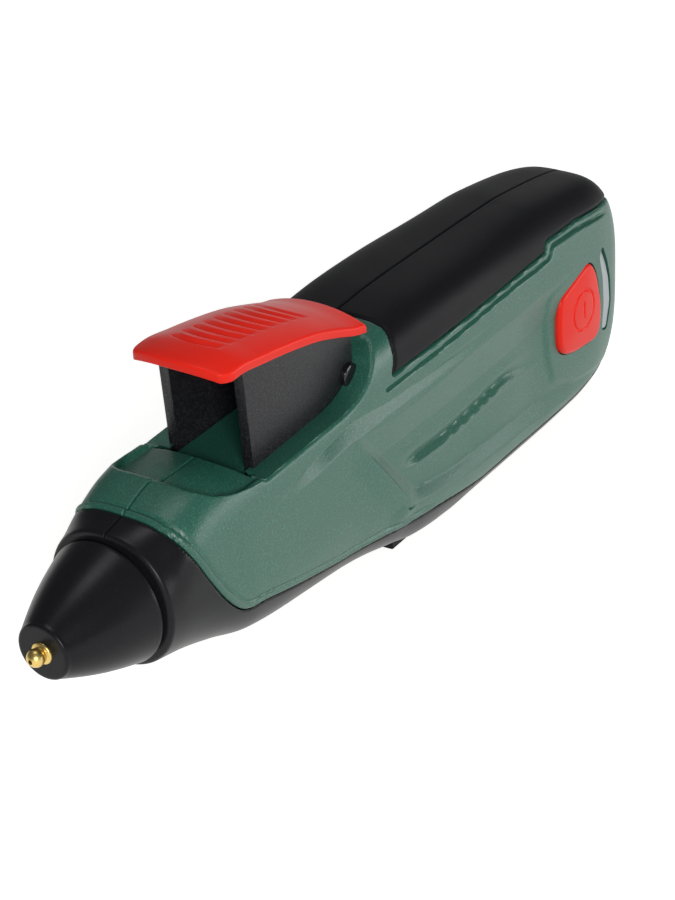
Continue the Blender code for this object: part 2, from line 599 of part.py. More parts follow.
def coil(name, centre, axis, low, high, radius, wire_r, turns, finish, lead=0.0):
    """Round-wire spring: a tube of hexagonal section along a helix, with an optional straight leg."""
    per_turn, ring = 10, 5
    steps = turns * per_turn + 1
    t = np.linspace(0, 1, steps)
    turn = 2 * np.pi * turns * t
    along = low + wire_r + (high - low - 2 * wire_r) * t
    path = np.stack([AXES[axis](a, radius, (math.cos(u), math.sin(u))) for a, u in zip(along, turn)])
    run = np.gradient(path, axis=0)
    if lead:
        tail = path[-1] + np.outer(np.linspace(0.34, 1, 3) * lead, run[-1] / np.linalg.norm(run[-1]))
        path = np.concatenate((path, tail))
        run = np.gradient(path, axis=0)
    run /= np.linalg.norm(run, axis=1, keepdims=True)
    spine = np.array(AXES[axis](1.0, 0.0, (1, 0)))
    out = np.cross(run, spine)
    out /= np.linalg.norm(out, axis=1, keepdims=True)
    up = np.cross(run, out)
    points = []
    for p, a, b in zip(path, out, up):
        for k in range(ring):
            turn_k = 2 * math.pi * k / ring
            points.append(np.add(centre, p + wire_r * (math.cos(turn_k) * a + math.sin(turn_k) * b)))
    faces = tube_faces(len(path), ring)
    return soften(solid(name, points, faces, finish, centre), 60)


# ------------------------------------------------------------------ feed
JAW_X = 81.0
JAW_Z = 5.7
JAW_TIP_X = 75.4


def feed(paint):
    """Carriage that slides along the stick's path, with the toothed jaw that grips the stick."""
    place = (TRUNNION_X, 0, 0)
    low, high = (71.0, -CARRIAGE_HALF, -6.9), (85.0, CARRIAGE_HALF, 7.1)
    carriage = box("feed_carriage", low, high, paint["natural"], place)
    cut(carriage, rod("trunnions", [(-10.15, TRUNNION_R), (10.15, TRUNNION_R)], place, None, "y", 16), "UNION")
    cut(carriage, rod("stick_bore", [(60, STICK_BORE_R), (95, STICK_BORE_R)], (0, 0, 0), None, "x", 24))
    cut(carriage, box("jaw_slot", (74.0, -2.2, 1.0), (83.6, 2.2, 9.0)))
    cut(carriage, rod("jaw_pin_hole", [(-9, 1.2), (9, 1.2)], (JAW_X, 0, JAW_Z), None, "y", 12))

    eye = [(JAW_X + 1.45 * math.cos(a), JAW_Z + 1.45 * math.sin(a)) for a in np.radians(np.arange(-90, 91, 30))]
    teeth = [(78.4, 4.1), (77.9, 4.5), (77.4, 4.0), (76.9, 4.4), (76.4, 3.95), (75.9, 4.3), (JAW_TIP_X, 3.9)]
    jaw_line = eye + [(JAW_TIP_X, 6.6)] + teeth[::-1]
    jaw = plate("feed_jaw", jaw_line, -1.8, 1.8, paint["steel"], "y", (JAW_X, 0, JAW_Z))
    cut(jaw, rod("jaw_eye", [(-9, 1.05), (9, 1.05)], (JAW_X, 0, JAW_Z), None, "y", 12))
    rod("jaw_pin", [(-6.6, 0.75), (6.6, 0.75)], (JAW_X, 0, JAW_Z), paint["steel"], "y", 12)

    rail = box("carriage_rail", (60.5, -2.6, -8.8), (92.5, 2.6, -7.4), paint["black"])
    web = [(60.5, -8.5), (92.5, -8.5), (92.5, -23.6), (60.5, -20.0)]
    cut(rail, plate("rail_web", web, -0.9, 0.9), "UNION")
    coil("carriage_spring", (0, 0, 0), "x", 85.6, 94.8, 5.3, 0.35, 3, paint["steel"])
    turned("stick_guide", pipe_profile(95.3, 192.0, 5.1, STICK_BORE_R), (0, 0, 0), paint["black"], "x", 20)


# ------------------------------------------------------------------ power
def electrics(paint):
    """Lithium cell in its cradle, control board, button, lights and charging socket."""
    cell_end = CELL_FRONT + CELL_LENGTH
    nub = [(CELL_FRONT, 3.2), (CELL_FRONT + 0.7, 3.2), (CELL_FRONT + 0.7, CELL_R - 0.6),
           (CELL_FRONT + 1.3, CELL_R), (cell_end - 0.5, CELL_R), (cell_end, CELL_R - 0.5)]
    rod("battery_cell", nub, (0, 0, CELL_Z), paint["cell"], "x", 20)
    arc = np.radians(np.linspace(-160, -20, 12))
    cradle = [((CELL_R + GAP) * math.cos(a), CELL_Z + (CELL_R + GAP) * math.sin(a)) for a in arc]
    cradle += [((CELL_R + 1.4) * math.cos(a), CELL_Z + (CELL_R + 1.4) * math.sin(a)) for a in arc[::-1]]
    plate("battery_cradle", cradle, CELL_FRONT + 2, cell_end - 2, paint["black"], "x")
    for name, x in (("battery_tab_front", CELL_FRONT - 0.9), ("battery_tab_rear", cell_end + GAP)):
        tab = [(-3.0, CELL_Z - 5.0), (3.0, CELL_Z - 5.0), (3.0, CELL_Z + 9.6), (-3.0, CELL_Z + 9.6)]
        plate(name, tab, x, x + 0.6, paint["steel"], "x")

    outside = BOARD_Y + BOARD_THICK
    board_line = [(139.0, -8.0), (180.0, -8.0), (180.0, -17.0), (187.2, -17.0), (187.2, 6.0), (182.0, 6.0),
                  (182.0, 12.0), (139.0, 12.0)]
    board = plate("circuit_board", board_line, BOARD_Y, outside, paint["board"])
    for number, (x, z) in enumerate(((142.0, 9.0), (160.0, 9.0)), 1):
        cut(board, rod(f"board_hole_{number}", [(-20, 1.3), (0, 1.3)], (x, 0, z), None, "y", 12))
        profile = [(BOARD_Y - 1.5, 1.2), (BOARD_Y - 1.3, 1.9), (BOARD_Y - GAP, 1.9), (BOARD_Y - GAP, 1.0),
                   (outside + 3.0, 1.0)]
        rod(f"board_screw_{number}", profile, (x, 0, z), paint["steel"], "y", 8, (x, 0, z))

    face = -16.2
    button_line = list(BUTTON_OUTLINE)
    middle = (172.0, -3.6)
    button = plate("power_button", button_line, face, -12.6, paint["red"], "y", (middle[0], 0, middle[1]))
    flange = plate("button_flange", grown(button_line, 0.9), -12.9, -12.1)
    cut(button, flange, "UNION")
    switch = box("switch_body", (169.6, -10.4, -6.4), (175.6, BOARD_Y - GAP, -0.4), paint["black"])
    cut(switch, rod("switch_plunger", [(-11.0, 1.6), (-10.0, 1.6)], (middle[0], 0, middle[1]), None, "y", 16),
        "UNION")
    guide = plate("light_guide", list(LIGHT_OUTLINE), -20.0, -13.2, paint["grey"])
    cut(guide, body_core("light_guide_limit"), "INTERSECT")
    for number, z in enumerate((1.0, -6.5, -14.0), 1):
        box(f"indicator_led_{number}", (184.6, BOARD_Y - 1.3, z - 1.2), (187.0, BOARD_Y - GAP, z + 1.2),
            paint["led"])

    socket = box("usb_socket", (185.6, -4.4, USB_Z - 1.6), (193.8, 4.4, USB_Z + 1.6), paint["steel"])
    cut(socket, box("usb_mouth", (186.6, -3.7, USB_Z - 1.1), (200, 3.7, USB_Z + 1.1)))
    box("charging_board", (180.0, -6.6, USB_Z - 3.1), (191.8, 6.6, USB_Z - 1.9), paint["board"])

    wire("battery_lead_positive", [(109.6, -4.2, -8.0), (117, -6.6, -6.4), (128, -6.6, -5.0), (140.5, -6.6, -5.0)],
         0.6, paint["lead_red"])
    wire("battery_lead_negative", [(178.2, -4.4, -8.0), (177.0, -6.2, -6.5), (173, -6.6, -4.0),
                                   (168, -6.6, -2.5)], 0.6, paint["lead_black"])
    wire("heater_lead_1", [(48.3, -2.6, -8.6), (56, -4.2, -10.6), (75, -4.6, -12.5), (95, -5.0, -9.8),
                           (108, -6.9, -3.4), (125, -6.7, -2.4), (140.5, -6.6, -2.4)], 0.6, paint["lead_red"])
    wire("heater_lead_2", [(48.3, 2.6, -8.6), (56, 4.2, -10.6), (75, 4.6, -12.5), (94, 5.0, -10.5),
                           (104, 7.4, -3.5), (112, 6.6, 2.2), (120, 2.6, 6.8), (126, -3.2, 6.5),
                           (131, -6.4, 3.4), (140.5, -6.6, 1.0)], 0.6,
         paint["lead_black"])


def main():
    """Build the whole tool in an empty scene."""
    for thing in list(bpy.data.objects):
        bpy.data.objects.remove(thing, do_unlink=True)
    paint = finishes()
    housing(paint)
    rear_cover(paint)
    foot(paint)
    screws(paint)
    nose(paint)
    heater(paint)
    lever(paint)
    feed(paint)
    electrics(paint)


main()
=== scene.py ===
"""Looks of a cordless glue gun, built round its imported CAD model.

All sizes are in millimetres: x runs along the glue axis from the nozzle tip to the rear face, y is across
(the power button's side is -y) and z is height above the glue axis. Meshes are written in metres in the
CAD model's frame.
"""
import json
import math

import bmesh
import bpy
import numpy as np
from mathutils import Matrix, Vector


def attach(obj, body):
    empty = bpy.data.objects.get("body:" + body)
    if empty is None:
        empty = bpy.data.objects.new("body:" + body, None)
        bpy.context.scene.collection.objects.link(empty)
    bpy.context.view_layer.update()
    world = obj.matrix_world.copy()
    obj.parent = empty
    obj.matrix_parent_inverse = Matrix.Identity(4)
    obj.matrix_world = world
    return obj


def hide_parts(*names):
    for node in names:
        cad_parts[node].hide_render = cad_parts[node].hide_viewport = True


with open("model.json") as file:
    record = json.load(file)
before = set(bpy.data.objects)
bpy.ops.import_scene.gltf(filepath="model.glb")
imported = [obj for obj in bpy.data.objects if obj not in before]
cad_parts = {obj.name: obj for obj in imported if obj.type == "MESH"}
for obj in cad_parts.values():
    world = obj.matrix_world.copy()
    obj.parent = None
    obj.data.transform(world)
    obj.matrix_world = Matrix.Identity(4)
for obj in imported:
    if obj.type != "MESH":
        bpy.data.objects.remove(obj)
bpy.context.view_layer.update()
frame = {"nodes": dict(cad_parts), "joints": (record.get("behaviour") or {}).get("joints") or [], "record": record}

bl_info = {
    "name": "Glue Gun",
    "version": (1, 0, 0),
    "blender": (4, 5, 0),
    "location": "View3D > Sidebar > Glue Gun",
    "description": "Detailed housing, nose, lever, button and finishes of a cordless glue gun",
    "category": "Object",
}

MM = 0.001
LENGTH = 195.0
AXIS_HEIGHT = 33.0
LEFT, RIGHT = -1, 1

# ------------------------------------------------------------------ lines of the body: (x, value)
HALF_WIDTH = ((23.2, 13.9), (28, 14.1), (36, 14.3), (50, 15.0), (80, 15.3), (100, 16.0), (125, 16.3),
              (160, 16.3), (180, 15.6), (188, 14.6), (192, 13.4), (195, 11.6))
TOP = ((23.2, 13.9), (29, 15.1), (38, 17.9), (46, 18.6), (55, 19.0), (80, 19.6), (91, 24.3), (100, 24.8),
       (113, 25.3), (138, 24.9), (160, 24.3), (171, 23.2), (181, 21.8), (188, 20.4), (192, 18.8), (195, 15.8))
BOTTOM = ((23.2, -13.9), (30, -14.8), (40, -17.3), (50, -21.0), (60, -22.9), (70, -24.2), (80, -25.4),
          (90, -26.5), (100, -28.7), (108, -31.2), (117, -32.8), (126, -33.6), (176, -33.6), (184, -32.9),
          (188, -32.2), (192, -30.2), (195, -26.5))
WIDEST = ((23.2, 0.0), (40, -1.5), (60, -3.0), (195, -3.0))
ROUND_TOP = ((23.2, 2.0), (26, 2.3), (31, 3.3), (37, 4.0), (53, 5.0), (100, 5.6), (125, 5.3), (150, 4.2),
             (180, 3.8), (195, 3.2))
ROUND_BOTTOM = ((23.2, 2.0), (30, 2.2), (45, 2.7), (80, 2.8), (100, 3.4), (130, 3.0), (195, 3.0))

# thumb deck in front of the lever well: where it starts at each half width, its crown and its side rim
DECK_START = ((0, 37.7), (6.8, 37.9), (11.0, 39.8), (12.9, 43.3), (13.9, 48.0), (14.6, 58.0))
DECK_CENTRE = 15.9
DECK_FALL = 2.3
DECK_SIDE = 11.6

# parting lines in side view (x, z)
NOSE_LINE = ((28.6, 30), (28.8, 15), (30.2, 11), (34.0, 3.5), (39.0, -4.5), (43.4, -9.4), (46.4, -11.0),
             (50.0, -11.2), (63, -14.6), (77.5, -17.9), (98.5, -20.9), (114.5, -23.4), (131.5, -27.0),
             (153, -27.2), (176, -27.4), (189, -25.6), (200, -21.0))
GRIP_LINE = ((100.2, 40), (99.6, 24.4), (98.0, 21.7), (97.4, 18.7), (95.7, 15.7), (157.6, 16.3),
             (158.8, 18.2), (172.4, 17.5), (190, 14.9), (200, 12.5))
WELL_LINE = ((53.2, 60), (53.2, 13.4), (80.0, 14.4), (84.5, 15.4), (87.5, 17.0), (89.9, 19.2), (91.8, 22.0),
             (94.4, 24.2), (94.4, 60))

# styling of the sides in side view (x, z)
WELL_HALF = 11.3                # half width of the well's front end
WELL_FRONT, WELL_BOW = 51.2, 2.0
VALLEY_LINE = ((55.4, 6.2), (63.6, 8.6), (73.9, 10.0), (82.7, 11.2), (97.7, 10.0), (112.4, 9.6), (136, 10.2))
CREASE_LINE = ((54.0, 5.6), (60.0, 6.1), (68.3, 6.6), (80.5, 7.9), (97.7, 6.4), (112.4, 6.8), (136, 9.6))
STEP_OUTER = ((82.9, 7.8), (89.1, -0.7), (93.9, -6.9), (99.2, -13.7), (98.7, -16.6), (107.0, -18.0),
              (116.0, -19.8), (128.7, -21.3), (146.3, -22.6), (166.8, -25.1), (200, -25.1), (200, 7.8))
STEP_INNER = ((84.4, 7.8), (88.9, 3.6), (94.0, -2.4), (98.6, -7.8), (105.2, -15.4), (108.7, -15.9),
              (117.5, -17.5), (128.7, -18.6), (146.3, -19.6), (166.8, -21.0), (200, -21.0), (200, 7.8))
LASH_LINE = ((99.0, -7.0), (103.8, -7.5), (115.3, -8.0), (127.3, -7.4), (140.6, -6.4), (156, -8.3))
TRIM_LINE = ((93.3, 13.7), (113, 14.0), (137, 14.7), (158.6, 14.6), (160.2, 16.8), (171.6, 15.9),
             (186.8, 13.6))
PAD_OUTLINE = ((158.5, 5.0), (158.8, -2.6), (159.7, -10.5), (162.4, -17.4), (170.8, -21.1), (192, -25.0),
               (200, -25.0), (200, 14.0), (182, 9.6), (173.5, 7.6), (163.9, 6.4))
BUTTON_CENTRE = (171.9, -3.7)
SYMBOL_RADIUS = 4.6
SYMBOL_BAR = 1.9                # half the length of the upright bar
BUTTON_OUTLINE = ((161.9, -4.0), (162.3, -9.0), (164.4, -11.6), (169.0, -13.0), (178.6, -13.9),
                  (180.8, -11.6), (181.1, -5.4), (179.2, 1.8), (177.6, 4.8), (175.2, 6.6), (168.6, 4.6),
                  (164.3, 3.3), (162.4, 1.8))
LIGHT_OUTLINE = ((182.5, -13.6), (185.5, -14.7), (187.4, -8.4), (186.9, -2.6), (185.3, 2.1), (182.6, 7.4),
                 (180.9, 5.4), (182.6, -0.5), (183.1, -6.5))

# finger lever
CAP_HALF = 11.2                 # half its width
CAP_FRONT, CAP_REAR = 46.6, 93.6
CAP_DROOP = 2.1                 # how far its edges lie below its middle
CAP_BOW = 2.0                   # how far the front corners lie behind the front's middle
CAP_LINE = ((46.6, 38.5), (49.5, 39.0), (53.0, 39.2), (60, 38.2), (68, 36.8), (77, 34.8), (85, 32.2),
            (90, 30.4), (93.6, 29.5))


# ------------------------------------------------------------------ sizes and colours a user would change
def length(name, description, default):
    """A size in millimetres."""
    return bpy.props.FloatProperty(name=name, description=description, default=default, subtype="NONE",
                                   min=0.0)


def swatch(name, description, default):
    """A colour as an sRGB hex value."""
    return bpy.props.StringProperty(name=name, description=description, default=default)


class GlueGunSizes(bpy.types.PropertyGroup):
    """Sizes in millimetres."""
    wall: length("Wall", "Thickness of the housing wall, mm", 2.0)
    gap: length("Parting gap", "Clearance between neighbouring mouldings, mm", 0.3)
    edge: length("Edge radius", "Rounding of the mouldings along their parting lines, mm", 0.45)
    valley: length("Shoulder step", "Depth of the step under the shoulder, mm", 1.6)
    panel: length("Panel step", "How far the rear side panel is set back, mm", 2.1)
    swell: length("Panel swelling", "How far the side rises to the front edge of the rear panel, mm", 0.6)
    lash: length("Side groove", "Depth of the pointed groove on the rear panel, mm", 1.1)
    trim: length("Trim groove", "Depth of the fine groove under the grip, mm", 0.9)
    bead: length("Collar bead", "Height of the bead along the collar, mm", 0.35)
    cap_thickness: length("Cap thickness", "Thickness of the red lever cap, mm", 1.9)
    cap_groove: length("Cap groove", "Depth of the crescent grooves in the cap, mm", 0.75)
    button_crown: length("Button crown", "Height of the button's pillow, mm", 0.7)
    symbol: length("Symbol depth", "Depth of the engraved power symbol, mm", 0.4)


class GlueGunColours(bpy.types.PropertyGroup):
    """Colours as sRGB hex values."""
    green: swatch("Green", "Housing shells", "235a4a")
    black: swatch("Black", "Nose, collar, belly and lever arm", "19191c")
    grip: swatch("Grip", "Soft grip", "17171a")
    red: swatch("Red", "Lever cap and power button", "ff2a1a")
    brass: swatch("Brass", "Nozzle", "d8bb72")
    window: swatch("Window", "Light window", "b4bcbe")
    floor: swatch("Floor", "Studio floor", "f4f4f2")


def sizes():
    """The scene's sizes."""
    return bpy.context.scene.glue_gun_sizes


def colours():
    """The scene's colours."""
    return bpy.context.scene.glue_gun_colours


# ------------------------------------------------------------------ curves
def smooth(x, knots):
    """Monotone cubic through the knots: each slope is the harmonic mean of its two neighbours' slopes."""
    kx, ky = np.array(knots, float).T
    step = np.diff(kx)
    slope = np.diff(ky) / step
    tangent = np.zeros_like(kx)
    same = slope[:-1] * slope[1:] > 0
    tangent[1:-1][same] = 2 * slope[:-1][same] * slope[1:][same] / (slope[:-1] + slope[1:])[same]
    tangent[0], tangent[-1] = slope[0], slope[-1]
    x = np.clip(np.asarray(x, float), kx[0], kx[-1])
    i = np.clip(np.searchsorted(kx, x, side="right") - 1, 0, len(step) - 1)
    t = (x - kx[i]) / step[i]
    return ((1 + 2 * t) * (1 - t) ** 2 * ky[i] + t * (1 - t) ** 2 * step[i] * tangent[i]
            + t * t * (3 - 2 * t) * ky[i + 1] + t * t * (t - 1) * step[i] * tangent[i + 1])


def ease(t):
    """0 to 1 with flat ends: 3t^2 - 2t^3."""
    t = np.clip(t, 0.0, 1.0)
    return t * t * (3 - 2 * t)


def filleted(line, radius, count=8, closed=False):
    """The polyline with each corner replaced by a quadratic curve that starts `radius` before the corner, or
    half way along a shorter side: p = (1-t)^2 a + 2t(1-t) corner + t^2 b."""
    points = np.array(line, float)
    before = np.roll(points, 1, 0) if closed else points[:-2]
    corner = points if closed else points[1:-1]
    after = np.roll(points, -1, 0) if closed else points[2:]
    reach = []
    for other in (before, after):
        run = other - corner
        size = np.linalg.norm(run, axis=1, keepdims=True)
        reach.append(corner + run / size * np.minimum(radius, 0.49 * size))
    t = np.linspace(0, 1, count)[None, :, None]
    curve = (1 - t) ** 2 * reach[0][:, None] + 2 * t * (1 - t) * corner[:, None] + t * t * reach[1][:, None]
    curve = curve.reshape(-1, 2)
    return curve if closed else np.vstack((points[:1], curve, points[-1:]))


def shifted(line, distance, closed=False):
    """The polyline moved sideways by an even distance, to the left of its direction of travel, with mitred
    corners."""
    points = np.array(line, float)
    run = np.diff(np.vstack((points, points[:1])) if closed else points, axis=0)
    run /= np.maximum(np.linalg.norm(run, axis=1, keepdims=True), 1e-9)
    side = np.stack((-run[:, 1], run[:, 0]), 1)
    if closed:
        before, after = np.roll(side, 1, 0), side
    else:
        before, after = np.vstack((side[:1], side)), np.vstack((side, side[-1:]))
    normal = before + after
    normal /= np.linalg.norm(normal, axis=1, keepdims=True)
    miter = 1.0 / np.clip((normal * before).sum(1), 0.4, 1.0)
    return points + distance * miter[:, None] * normal


def away_from(x, z, line, closed=False):
    """Distance from each point (x, z) to a polyline in side view; inside a closed one it is negative, and
    beside an open one it is positive to the left of its direction of travel."""
    points = np.array(line, float)
    start, end = (points, np.roll(points, -1, 0)) if closed else (points[:-1], points[1:])
    px, pz = x[..., None], z[..., None]
    run = end - start
    t = (px - start[:, 0]) * run[:, 0] + (pz - start[:, 1]) * run[:, 1]
    t = np.clip(t / np.maximum((run ** 2).sum(1), 1e-12), 0, 1)
    dx, dz = px - start[:, 0] - t * run[:, 0], pz - start[:, 1] - t * run[:, 1]
    gap = np.hypot(dx, dz)
    nearest = gap.argmin(-1)[..., None]
    distance = np.take_along_axis(gap, nearest, -1)[..., 0]
    if closed:
        crosses = (start[:, 1] > pz) != (end[:, 1] > pz)
        steep = np.where(np.abs(run[:, 1]) < 1e-12, 1e-12, run[:, 1])
        inside = (crosses & (px < start[:, 0] + (pz - start[:, 1]) * run[:, 0] / steep)).sum(-1) % 2 == 1
        return np.where(inside, -distance, distance)
    side = run[:, 0] * (pz - start[:, 1]) - run[:, 1] * (px - start[:, 0])
    return distance * np.where(np.take_along_axis(side, nearest, -1)[..., 0] >= 0, 1, -1)


# ------------------------------------------------------------------ meshes
def metres(points):
    """Millimetres from the nozzle tip to metres in the model's frame."""
    return (np.asarray(points, float).reshape(-1, 3) + (-LENGTH / 2, 0.0, AXIS_HEIGHT)) * MM


def grid(rows, columns, first=0, around=False, flipped=False):
    """Quads of a grid of points kept row by row; `around` joins the last column to the first."""
    i, j = np.meshgrid(np.arange(rows - 1), np.arange(columns if around else columns - 1), indexing="ij")
    k = (j + 1) % columns
    quads = np.stack((i * columns + j, (i + 1) * columns + j, (i + 1) * columns + k, i * columns + k), -1)
    quads = quads.reshape(-1, 4) + first
    return quads[:, ::-1] if flipped else quads


def mesh_from(name, points, faces):
    """A mesh of the points, in millimetres, with its faces turned outwards as a whole."""
    mesh = bpy.data.meshes.new(name)
    mesh.from_pydata(metres(points).tolist(), [], np.asarray(faces).tolist() if isinstance(faces, np.ndarray)
                     else faces)
    mesh.update()
    mesh.calc_loop_triangles()
    tri = np.zeros(len(mesh.loop_triangles) * 3, np.int32)
    mesh.loop_triangles.foreach_get("vertices", tri)
    place = np.zeros(len(mesh.vertices) * 3)
    mesh.vertices.foreach_get("co", place)
    corner = place.reshape(-1, 3)[tri.reshape(-1, 3)]
    if np.einsum("ij,ij->i", corner[:, 0], np.cross(corner[:, 1], corner[:, 2])).sum() < 0:
        mesh.flip_normals()
    return mesh


def shade(mesh, degrees=32.0):
    """Smooth shading that stops at edges sharper than this."""
    mesh.shade_smooth()
    mesh.set_sharp_from_angle(angle=math.radians(degrees))
    return mesh


def piece(name, mesh, finish, body, slot, *nodes):
    """A shown piece that moves with a CAD body and stands for CAD nodes."""
    thing = bpy.data.objects.new(name, mesh)
    bpy.context.scene.collection.objects.link(thing)
    mesh.materials.clear()
    mesh.materials.append(finish)
    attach(thing, body)
    if nodes:
        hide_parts(*nodes)
    return thing


def settled(thing):
    """The piece with its modifiers applied."""
    bpy.context.view_layer.update()
    done = bpy.data.meshes.new_from_object(thing.evaluated_get(bpy.context.evaluated_depsgraph_get()))
    thing.modifiers.clear()
    thing.data = done
    return thing


def rounded(thing, width, segments=3, degrees=35.0):
    """Even roundings on the edges sharper than this."""
    step = thing.modifiers.new("rounded edges", "BEVEL")
    step.width = width * MM
    step.segments = segments
    step.limit_method = "ANGLE"
    step.angle_limit = math.radians(degrees)
    step.harden_normals = False
    return thing


def prism(name, outline, low, high, across="y"):
    """A side-view outline (x, z), or a plan outline (x, y), pushed from low to high across it."""
    outline = np.asarray(outline, float)
    n = len(outline)
    flat = [np.full(n, low), np.full(n, high)]
    order = (0, 2, 1) if across == "y" else (0, 1, 2)
    points = np.vstack([np.column_stack((outline, level))[:, order] for level in flat])
    faces = [tuple(range(n)), tuple(range(2 * n - 1, n - 1, -1))]
    faces += [((i + 1) % n, i, n + i, n + (i + 1) % n) for i in range(n)]
    return mesh_from(name, points, faces)


def trimmed(mesh, steps):
    """The mesh after a row of cuts: each is (operation, cutter mesh)."""
    thing = bpy.data.objects.new("trim", mesh)
    bpy.context.scene.collection.objects.link(thing)
    tools = []
    for operation, cutter in steps:
        tool = bpy.data.objects.new("tool", cutter)
        bpy.context.scene.collection.objects.link(tool)
        tools.append(tool)
        step = thing.modifiers.new("cut", "BOOLEAN")
        step.operation = operation
        step.solver = "MANIFOLD"
        step.object = tool
    bpy.context.view_layer.update()
    done = bpy.data.meshes.new_from_object(thing.evaluated_get(bpy.context.evaluated_depsgraph_get()))
    for extra in [thing] + tools:
        bpy.data.objects.remove(extra)
    if len(done.polygons) < 4:
        raise RuntimeError(f"{mesh.name}: nothing is left after its cuts")
    return done


def lathe(name, outline, turns=96, centre=(0, 0, 0), axis="x"):
    """A closed outline of (along, radius) turned round an axis: the point at angle a is
    (along, radius sin a, radius cos a)."""
    outline = np.asarray(outline, float)
    angle = np.linspace(0, 2 * np.pi, turns, endpoint=False)
    along = np.repeat(outline[:, :1], turns, 1)
    u, v = outline[:, 1:] * np.sin(angle), outline[:, 1:] * np.cos(angle)
    points = {"x": (along, u, v), "y": (v, along, u), "z": (u, v, along)}[axis]
    points = np.stack(points, -1).reshape(-1, 3) + centre
    n = len(outline)
    faces = [tuple(f) for f in grid(n, turns, around=True)]
    first, end = outline[0], outline[-1]
    open_ended = np.allclose(first[1], end[1]) and first[0] != end[0]
    if open_ended or first[1] < 1e-6:
        faces += [tuple(range(turns)), tuple(range(n * turns - 1, (n - 1) * turns - 1, -1))]
    else:
        last = (n - 1) * turns
        faces += [(last + j, j, (j + 1) % turns, last + (j + 1) % turns) for j in range(turns)]
    return mesh_from(name, points, faces)


# ------------------------------------------------------------------ finishes
DRIFT = 18.0                    # distance over which tone and gloss change, mm
TONE_DRIFT = 0.04
GLOSS_DRIFT = 0.06


def colour(value, strength=1.0):
    """An sRGB hex value as linear RGBA."""
    parts = np.array([int(value[i:i + 2], 16) for i in (0, 2, 4)]) / 255.0
    linear = np.where(parts <= 0.04045, parts / 12.92, ((parts + 0.055) / 1.055) ** 2.4) * strength
    return (*[float(v) for v in linear], 1.0)


def add(tree, kind, links=None, **settings):
    """A node of this kind; links maps its sockets to values or to (node, output) pairs."""
    made = tree.nodes.new(kind)
    for key, value in settings.items():
        setattr(made, key, value)
    for socket, value in (links or {}).items():
        if isinstance(value, tuple) and len(value) == 2 and isinstance(value[0], bpy.types.Node):
            tree.links.new(value[0].outputs[value[1]], made.inputs[socket])
        else:
            made.inputs[socket].default_value = value
    return made


def finish(name, base, roughness, glint_speck_share=0.35, grain=0.3, height=0.02, metallic=0.0, ior=1.5, contrast=0.0):
    """A moulded, cast or turned finish: `grain` is the grain's size in mm and `height` its depth in mm, and
    specks that are `contrast` paler than the base make up the share `glint_speck_share` of its high spots. These
    pale specks are partly the grain's own tone and partly painted glints: the sparkle of a lit grain, painted into
    the colour on every face alike. Gloss and tone also drift slowly across the piece. Real mould grain is about
    0.1 mm; it is drawn coarser, so that it still reads in a picture of the whole tool."""
    made = bpy.data.materials.get(name)
    if made:
        return made
    made = bpy.data.materials.new(name)
    made.use_nodes = True
    tree = made.node_tree
    shader = tree.nodes["Principled BSDF"]
    place = add(tree, "ShaderNodeTexCoord")
    fine = add(tree, "ShaderNodeTexNoise", {"Vector": (place, "Object"), "Scale": 1 / (grain * MM),
                                            "Detail": 2.0, "Roughness": 0.6})
    slow = add(tree, "ShaderNodeTexNoise", {"Vector": (place, "Object"), "Scale": 1 / (DRIFT * MM),
                                            "Detail": 3.0})
    dark = tuple(v * (1 - TONE_DRIFT) for v in base[:3]) + (1.0,)
    light = tuple(min(1.0, v * (1 + TONE_DRIFT)) for v in base[:3]) + (1.0,)
    tone = add(tree, "ShaderNodeMix", {"Factor": (slow, "Fac"), "A": dark, "B": light}, data_type="RGBA")
    # paler specks on the grain's high spots: partly the grain's own tone, partly painted glints standing in for
    # light caught by the grain
    pale = tuple(min(1.0, v * (1 + contrast) + 0.012 * contrast) for v in base[:3]) + (1.0,)
    glint_speck_mask = add(tree, "ShaderNodeMapRange", {"Value": (fine, "Fac"), "From Min": 0.5, "From Max": 0.75,
                                             "To Max": glint_speck_share})
    mixed = add(tree, "ShaderNodeMix", {"Factor": (glint_speck_mask, "Result"), "A": (tone, "Result"), "B": pale},
                data_type="RGBA")
    tree.links.new(mixed.outputs["Result"], shader.inputs["Base Color"])
    spread = add(tree, "ShaderNodeMapRange", {"Value": (slow, "Fac"), "To Min": roughness - GLOSS_DRIFT,
                                              "To Max": roughness + GLOSS_DRIFT})
    tree.links.new(spread.outputs["Result"], shader.inputs["Roughness"])
    bump = add(tree, "ShaderNodeBump", {"Height": (fine, "Fac"), "Strength": 1.0, "Distance": height * MM})
    tree.links.new(bump.outputs["Normal"], shader.inputs["Normal"])
    shader.inputs["Metallic"].default_value = metallic
    shader.inputs["IOR"].default_value = ior
    return made


def green_abs():
    """Green ABS from a spark-eroded mould: an even satin, with fine pale specks that are painted glints, put into
    its colour on every face alike.
    """
    return finish("moulded_ABS_green", colour(colours().green), 0.42, glint_speck_share=0.9, grain=0.34, height=0.045,
                  contrast=1.0, ior=1.6)


def black_abs():
    """Black glass-filled nylon of the nose and belly: dark satin with a soft broad highlight."""
    return finish("moulded_nylon_black", colour(colours().black), 0.32, glint_speck_share=0.3, grain=0.6, height=0.012,
                  contrast=0.5, ior=1.25)


def painted_glint_black():
    """Black ABS from a coarse spark-eroded mould: a dark face with grey glints painted into its colour all over.
    """
    return finish("eroded_ABS_black_painted_glints", colour(colours().black), 0.34, glint_speck_share=1.0, grain=0.28, height=0.08,
                  contrast=2.6, ior=1.33)


def polished_black():
    """Black acetal of the pivot bosses, from a polished mould: a small bright glint on the dome."""
    return finish("polished_acetal_black", colour(colours().black), 0.2, glint_speck_share=0.1, grain=0.5, height=0.003,
                  contrast=0.3)


def grip_rubber():
    """Thermoplastic rubber of the grip: nearly black and matt, with no clear highlight."""
    return finish("soft_TPE_black", colour(colours().grip), 0.5, glint_speck_share=0.25, grain=0.4, height=0.02,
                  contrast=0.4, ior=1.2)


